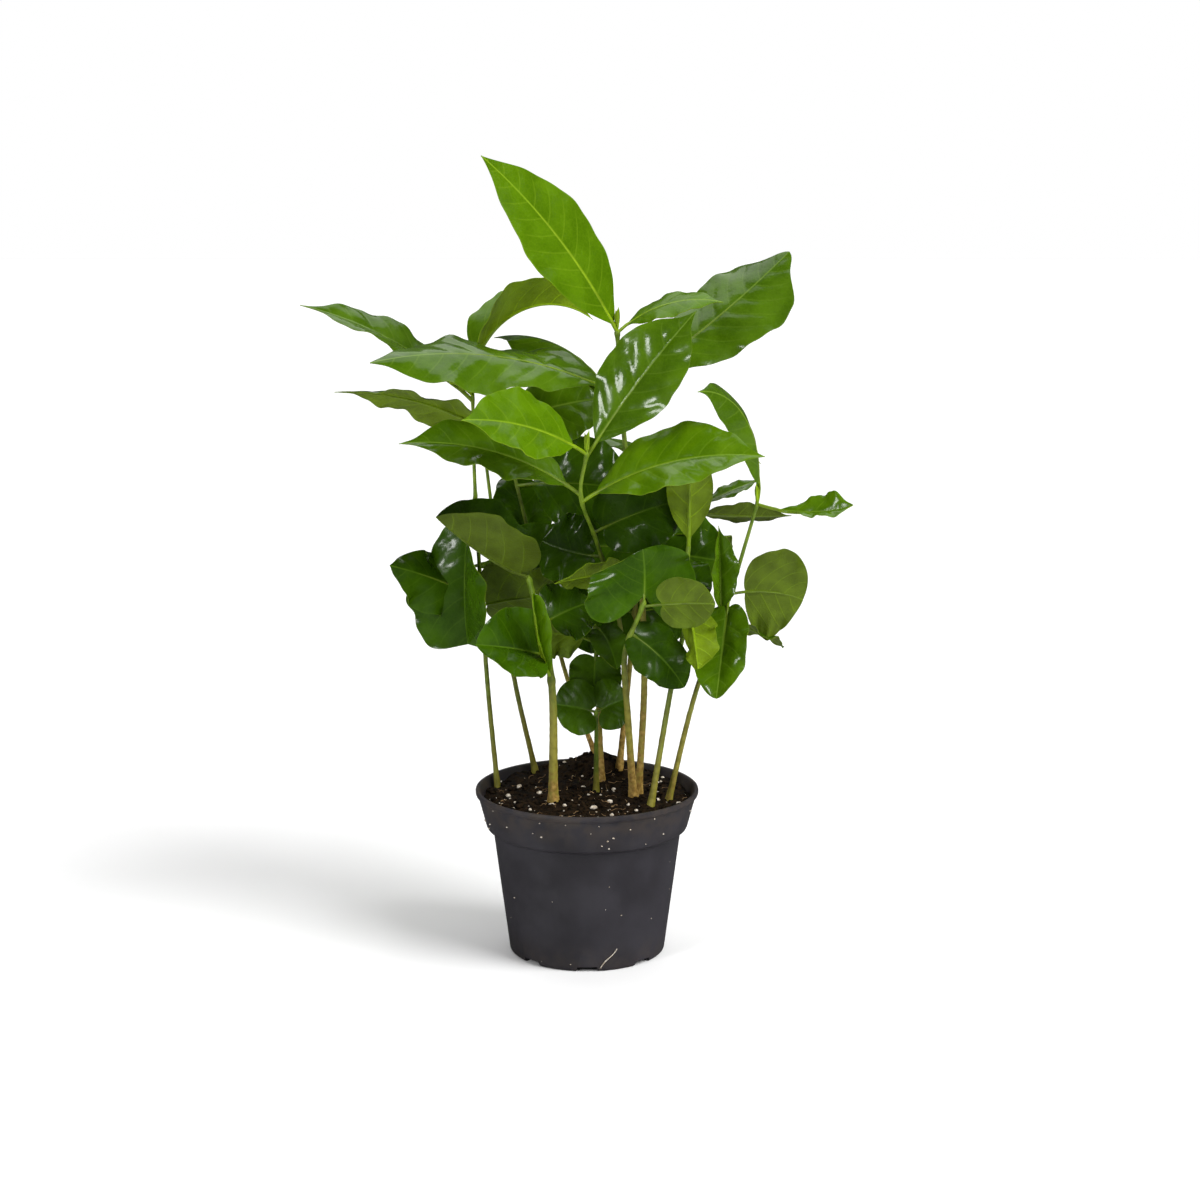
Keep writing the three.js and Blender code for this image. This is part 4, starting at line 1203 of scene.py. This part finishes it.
def leaf_relief(one, s, t, half):
    """Height of the skin above the sheet: swollen between veins, grooved over the midrib, uneven."""
    number, distance = vein_numbers(one, s, t, half)
    number = number + np.where(t < 0, LEFT_VEINS, RIGHT_VEINS)[None, :]
    beside = np.abs(number - np.round(number))
    swell = 1 - np.exp(-(beside / 0.2) ** 2)
    window = np.clip(np.sin(np.pi * np.clip(s, 0, 1)), 0, 1)[:, None] ** 0.5 * (1 - np.abs(t)[None, :] ** 5)
    window = window * (1 - np.exp(-(distance / 2.5) ** 2))
    size = np.sqrt(one["length"] / 80)
    quilt = QUILT[one["age"]] * size * window * swell
    groove = -0.4 * size * np.exp(-(distance / 1.2) ** 2) * (1 - s[:, None])
    beat = one["z"] + 2 * one["heading"]
    uneven = (np.sin(distance * 0.33 + 0.9 * beat + 0.11 * one["length"] * s[:, None])
              * np.sin(one["length"] * s[:, None] * 0.21 + 1.3 * beat + np.sign(t)[None, :]))
    return quilt + groove + 0.35 * QUILT[one["age"]] * window * uneven


print("swelling of the top leaf in mm:", round(float(leaf_relief(tall_leaf, s, t, half).max()), 2))


# %% One leaf as faces
RIB_SIDES = 8


def rib_tube(one, root):
    """The stalk, and the midrib that carries on from it under the blade."""
    total = one["stalk"] + one["length"]
    shares = np.concatenate([np.linspace(0, one["stalk"] / total, 10, endpoint=False),
                             np.linspace(one["stalk"] / total, 0.97, 34)])
    along, side, face = leaf_axes(one, shares)
    blade = np.clip((shares * total - one["stalk"]) / one["length"], 0, 1)
    stalk_radius = 0.62 + 0.005 * one["length"]
    radius = stalk_radius * ((1 - blade) ** 0.9 * 0.85 + 0.15)
    centre = midrib_at(one, root, shares) - face * (0.85 * radius * np.minimum(blade * 12, 1))[:, None]
    return tube(centre, radius, RIB_SIDES) + (len(shares),)


def border(rows, columns):
    """Point numbers round the edge of a grid, in order."""
    first = np.arange(columns)
    right = np.arange(1, rows) * columns + columns - 1
    last = (rows - 1) * columns + np.arange(columns - 2, -1, -1)
    left = np.arange(rows - 2, 0, -1) * columns
    return np.concatenate([first, right, last, left])


print("points round a blade:", len(border(ALONG + 1, ACROSS + 1)))

# %% [markdown]
# ### Putting a leaf together
# A blade is two sheets, upper and lower, a third of a millimetre apart, closed by a thin strip round the
# margin. The stalk and midrib are a tube on the underside. Every face gets its place in the three layers
# of flat coordinates: veins and blade for the colour, and OFBake for storing it.

# %% Leaf assembly
NO_VEIN = [0.5, 30.0]
AT_MARGIN = [0.5, 1.0]
BLADE_BAND = (0.08, 0.9)
MARGIN_BAND = 0.05


def leaf_parts(one, root, upper_cell, lower_cell, rib_cell):
    """Points, faces, layers and material slots of one whole leaf."""
    sheet, s, t, half = blade_surface(one, root)
    rows, columns = sheet.shape[:2]
    normals = sheet_normals(sheet)
    sheet = sheet + normals * leaf_relief(one, s, t, half)[..., None]
    normals = sheet_normals(sheet)
    upper = (sheet + normals * THICKNESS / 2).reshape(-1, 3)
    lower = (sheet - normals * THICKNESS / 2).reshape(-1, 3)
    faces = grid_faces(rows, columns)
    flip = [0, 3, 2, 1]
    edge = border(rows, columns)
    after = np.roll(edge, -1)
    count = len(upper)
    rim = np.stack([edge, edge + count, after + count, after], axis=1)
    rib_points, rib_faces, rib_rows = rib_tube(one, root)

    number, distance = vein_numbers(one, s, t, half)
    left_side = np.tile(np.arange(columns - 1) < (columns - 1) / 2, rows - 1)[:, None]
    of_corner = number.ravel()[faces] + np.where(left_side, LEFT_VEINS, RIGHT_VEINS)
    vein_layer = np.stack([of_corner, np.broadcast_to(distance, number.shape).ravel()[faces]], axis=-1)
    length_share, width_share = np.meshgrid(s, np.abs(t), indexing="ij")
    blade_layer = np.stack([length_share.ravel()[faces], width_share.ravel()[faces]], axis=-1)

    margin_veins = np.tile(NO_VEIN, (len(rim), 4, 1))
    margin_blade = np.tile(AT_MARGIN, (len(rim), 4, 1))
    rib_veins = np.tile(NO_VEIN, (len(rib_faces), 4, 1))
    left, low, wide, high = upper_cell
    lift, tall = np.array(BLADE_BAND) * high
    upper_flat = grid_layout(rows, columns, left, low + lift, wide, tall)
    rim_flat = grid_layout(len(edge) + 1, 2, left, low, wide, MARGIN_BAND * high)
    lower_flat = grid_layout(rows, columns, lower_cell[0], lower_cell[1] + lift, wide, tall)
    rib_flat = tube_layout(rib_rows, RIB_SIDES, *rib_cell)

    slot = AGE_AND_SHADE_SLOT[one["age"]]
    counts = [len(faces), len(faces), len(rim), len(rib_faces)]
    return dict(
        points=np.vstack([upper, lower, rib_points]),
        faces=np.vstack([faces, faces[:, flip] + count, rim, rib_faces + 2 * count]),
        veins=np.vstack([vein_layer, vein_layer[:, flip], margin_veins, rib_veins]),
        blade=np.vstack([blade_layer, blade_layer[:, flip], margin_blade, 0 * rib_veins]),
        OFBake=np.vstack([upper_flat, lower_flat[:, flip], rim_flat, rib_flat]),
        slots=np.repeat([slot, slot + 1, slot + 1, slot + 2], counts))


print("a leaf has", 2 * ALONG * ACROSS, "faces on its two sides")

# %% [markdown]
# ## The foliage
# All the leaves of a seedling are joined into one piece that stands for its solid. A growing tip ends in
# a bud between the top pair of leaves: two tiny folded leaves, made by the same rule. The cells of the
# OFBake layer are dealt out in a grid, two for each leaf, with a narrow band at the top for the stalks.

# %% Buds and cells
def bud_leaves(row):
    """Two folded young leaves at the tip of a seedling that is still growing."""
    tip = max(row["leaves"], key=lambda one: one["z"])
    if tip["ends"] < 1.5:
        return []
    young = dict(stalk=1.5, bend=-16, fold=50, wave=0.02, age="lime", drip=0.3)
    return [leaf(FOLIAGE, tip["z"] + 0.5, tip["heading"] + turn, 80, 11 - 2 * k, 4.5, **young)
            for k, turn in enumerate((90, -90))]


def leaf_cells(count):
    """Rectangles of a square for the two sides of each leaf, and a narrow one for its stalk."""
    columns = max(1, round(np.sqrt(count)))
    rows = -(-2 * count // columns)
    wide, high = 1 / columns, 0.9 / rows
    sides = [(k % columns * wide + 0.005, k // columns * high, wide - 0.01, high) for k in range(2 * count)]
    ribs = [(0.01, 0.905 + 0.09 * k / count, 0.98, 0.075 / count) for k in range(count)]
    return [(sides[2 * k], sides[2 * k + 1], ribs[k]) for k in range(count)]


print("cells for five leaves:", len(leaf_cells(5)))

# %% Foliage of each seedling
leaf_triangles = 0
for name, row in SEEDLINGS.items():
    leaves = row["leaves"] + bud_leaves(row)
    roots = [on_stem(LINES[name], one["z"])[0] for one in leaves]
    places = leaf_cells(len(leaves))
    parts = [leaf_parts(one, root, *cells) for one, root, cells in zip(leaves, roots, places)]
    points, faces = join([(part["points"], part["faces"]) for part in parts])
    layers = {label: np.vstack([part[label] for part in parts]) for label in ("veins", "blade", "OFBake")}
    slots = np.concatenate([part["slots"] for part in parts])
    foliage = make_piece(f"foliage_{name}", points, faces, layers, LEAF_PAINTS, slots)
    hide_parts(f"leaves_{name}")
    leaf_triangles += triangles(foliage)
print("leaf triangles in all:", leaf_triangles)

# %% Write the sizes
low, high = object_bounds()
print("visual size in mm:", [round(v / MM, 1) for v in high - low])
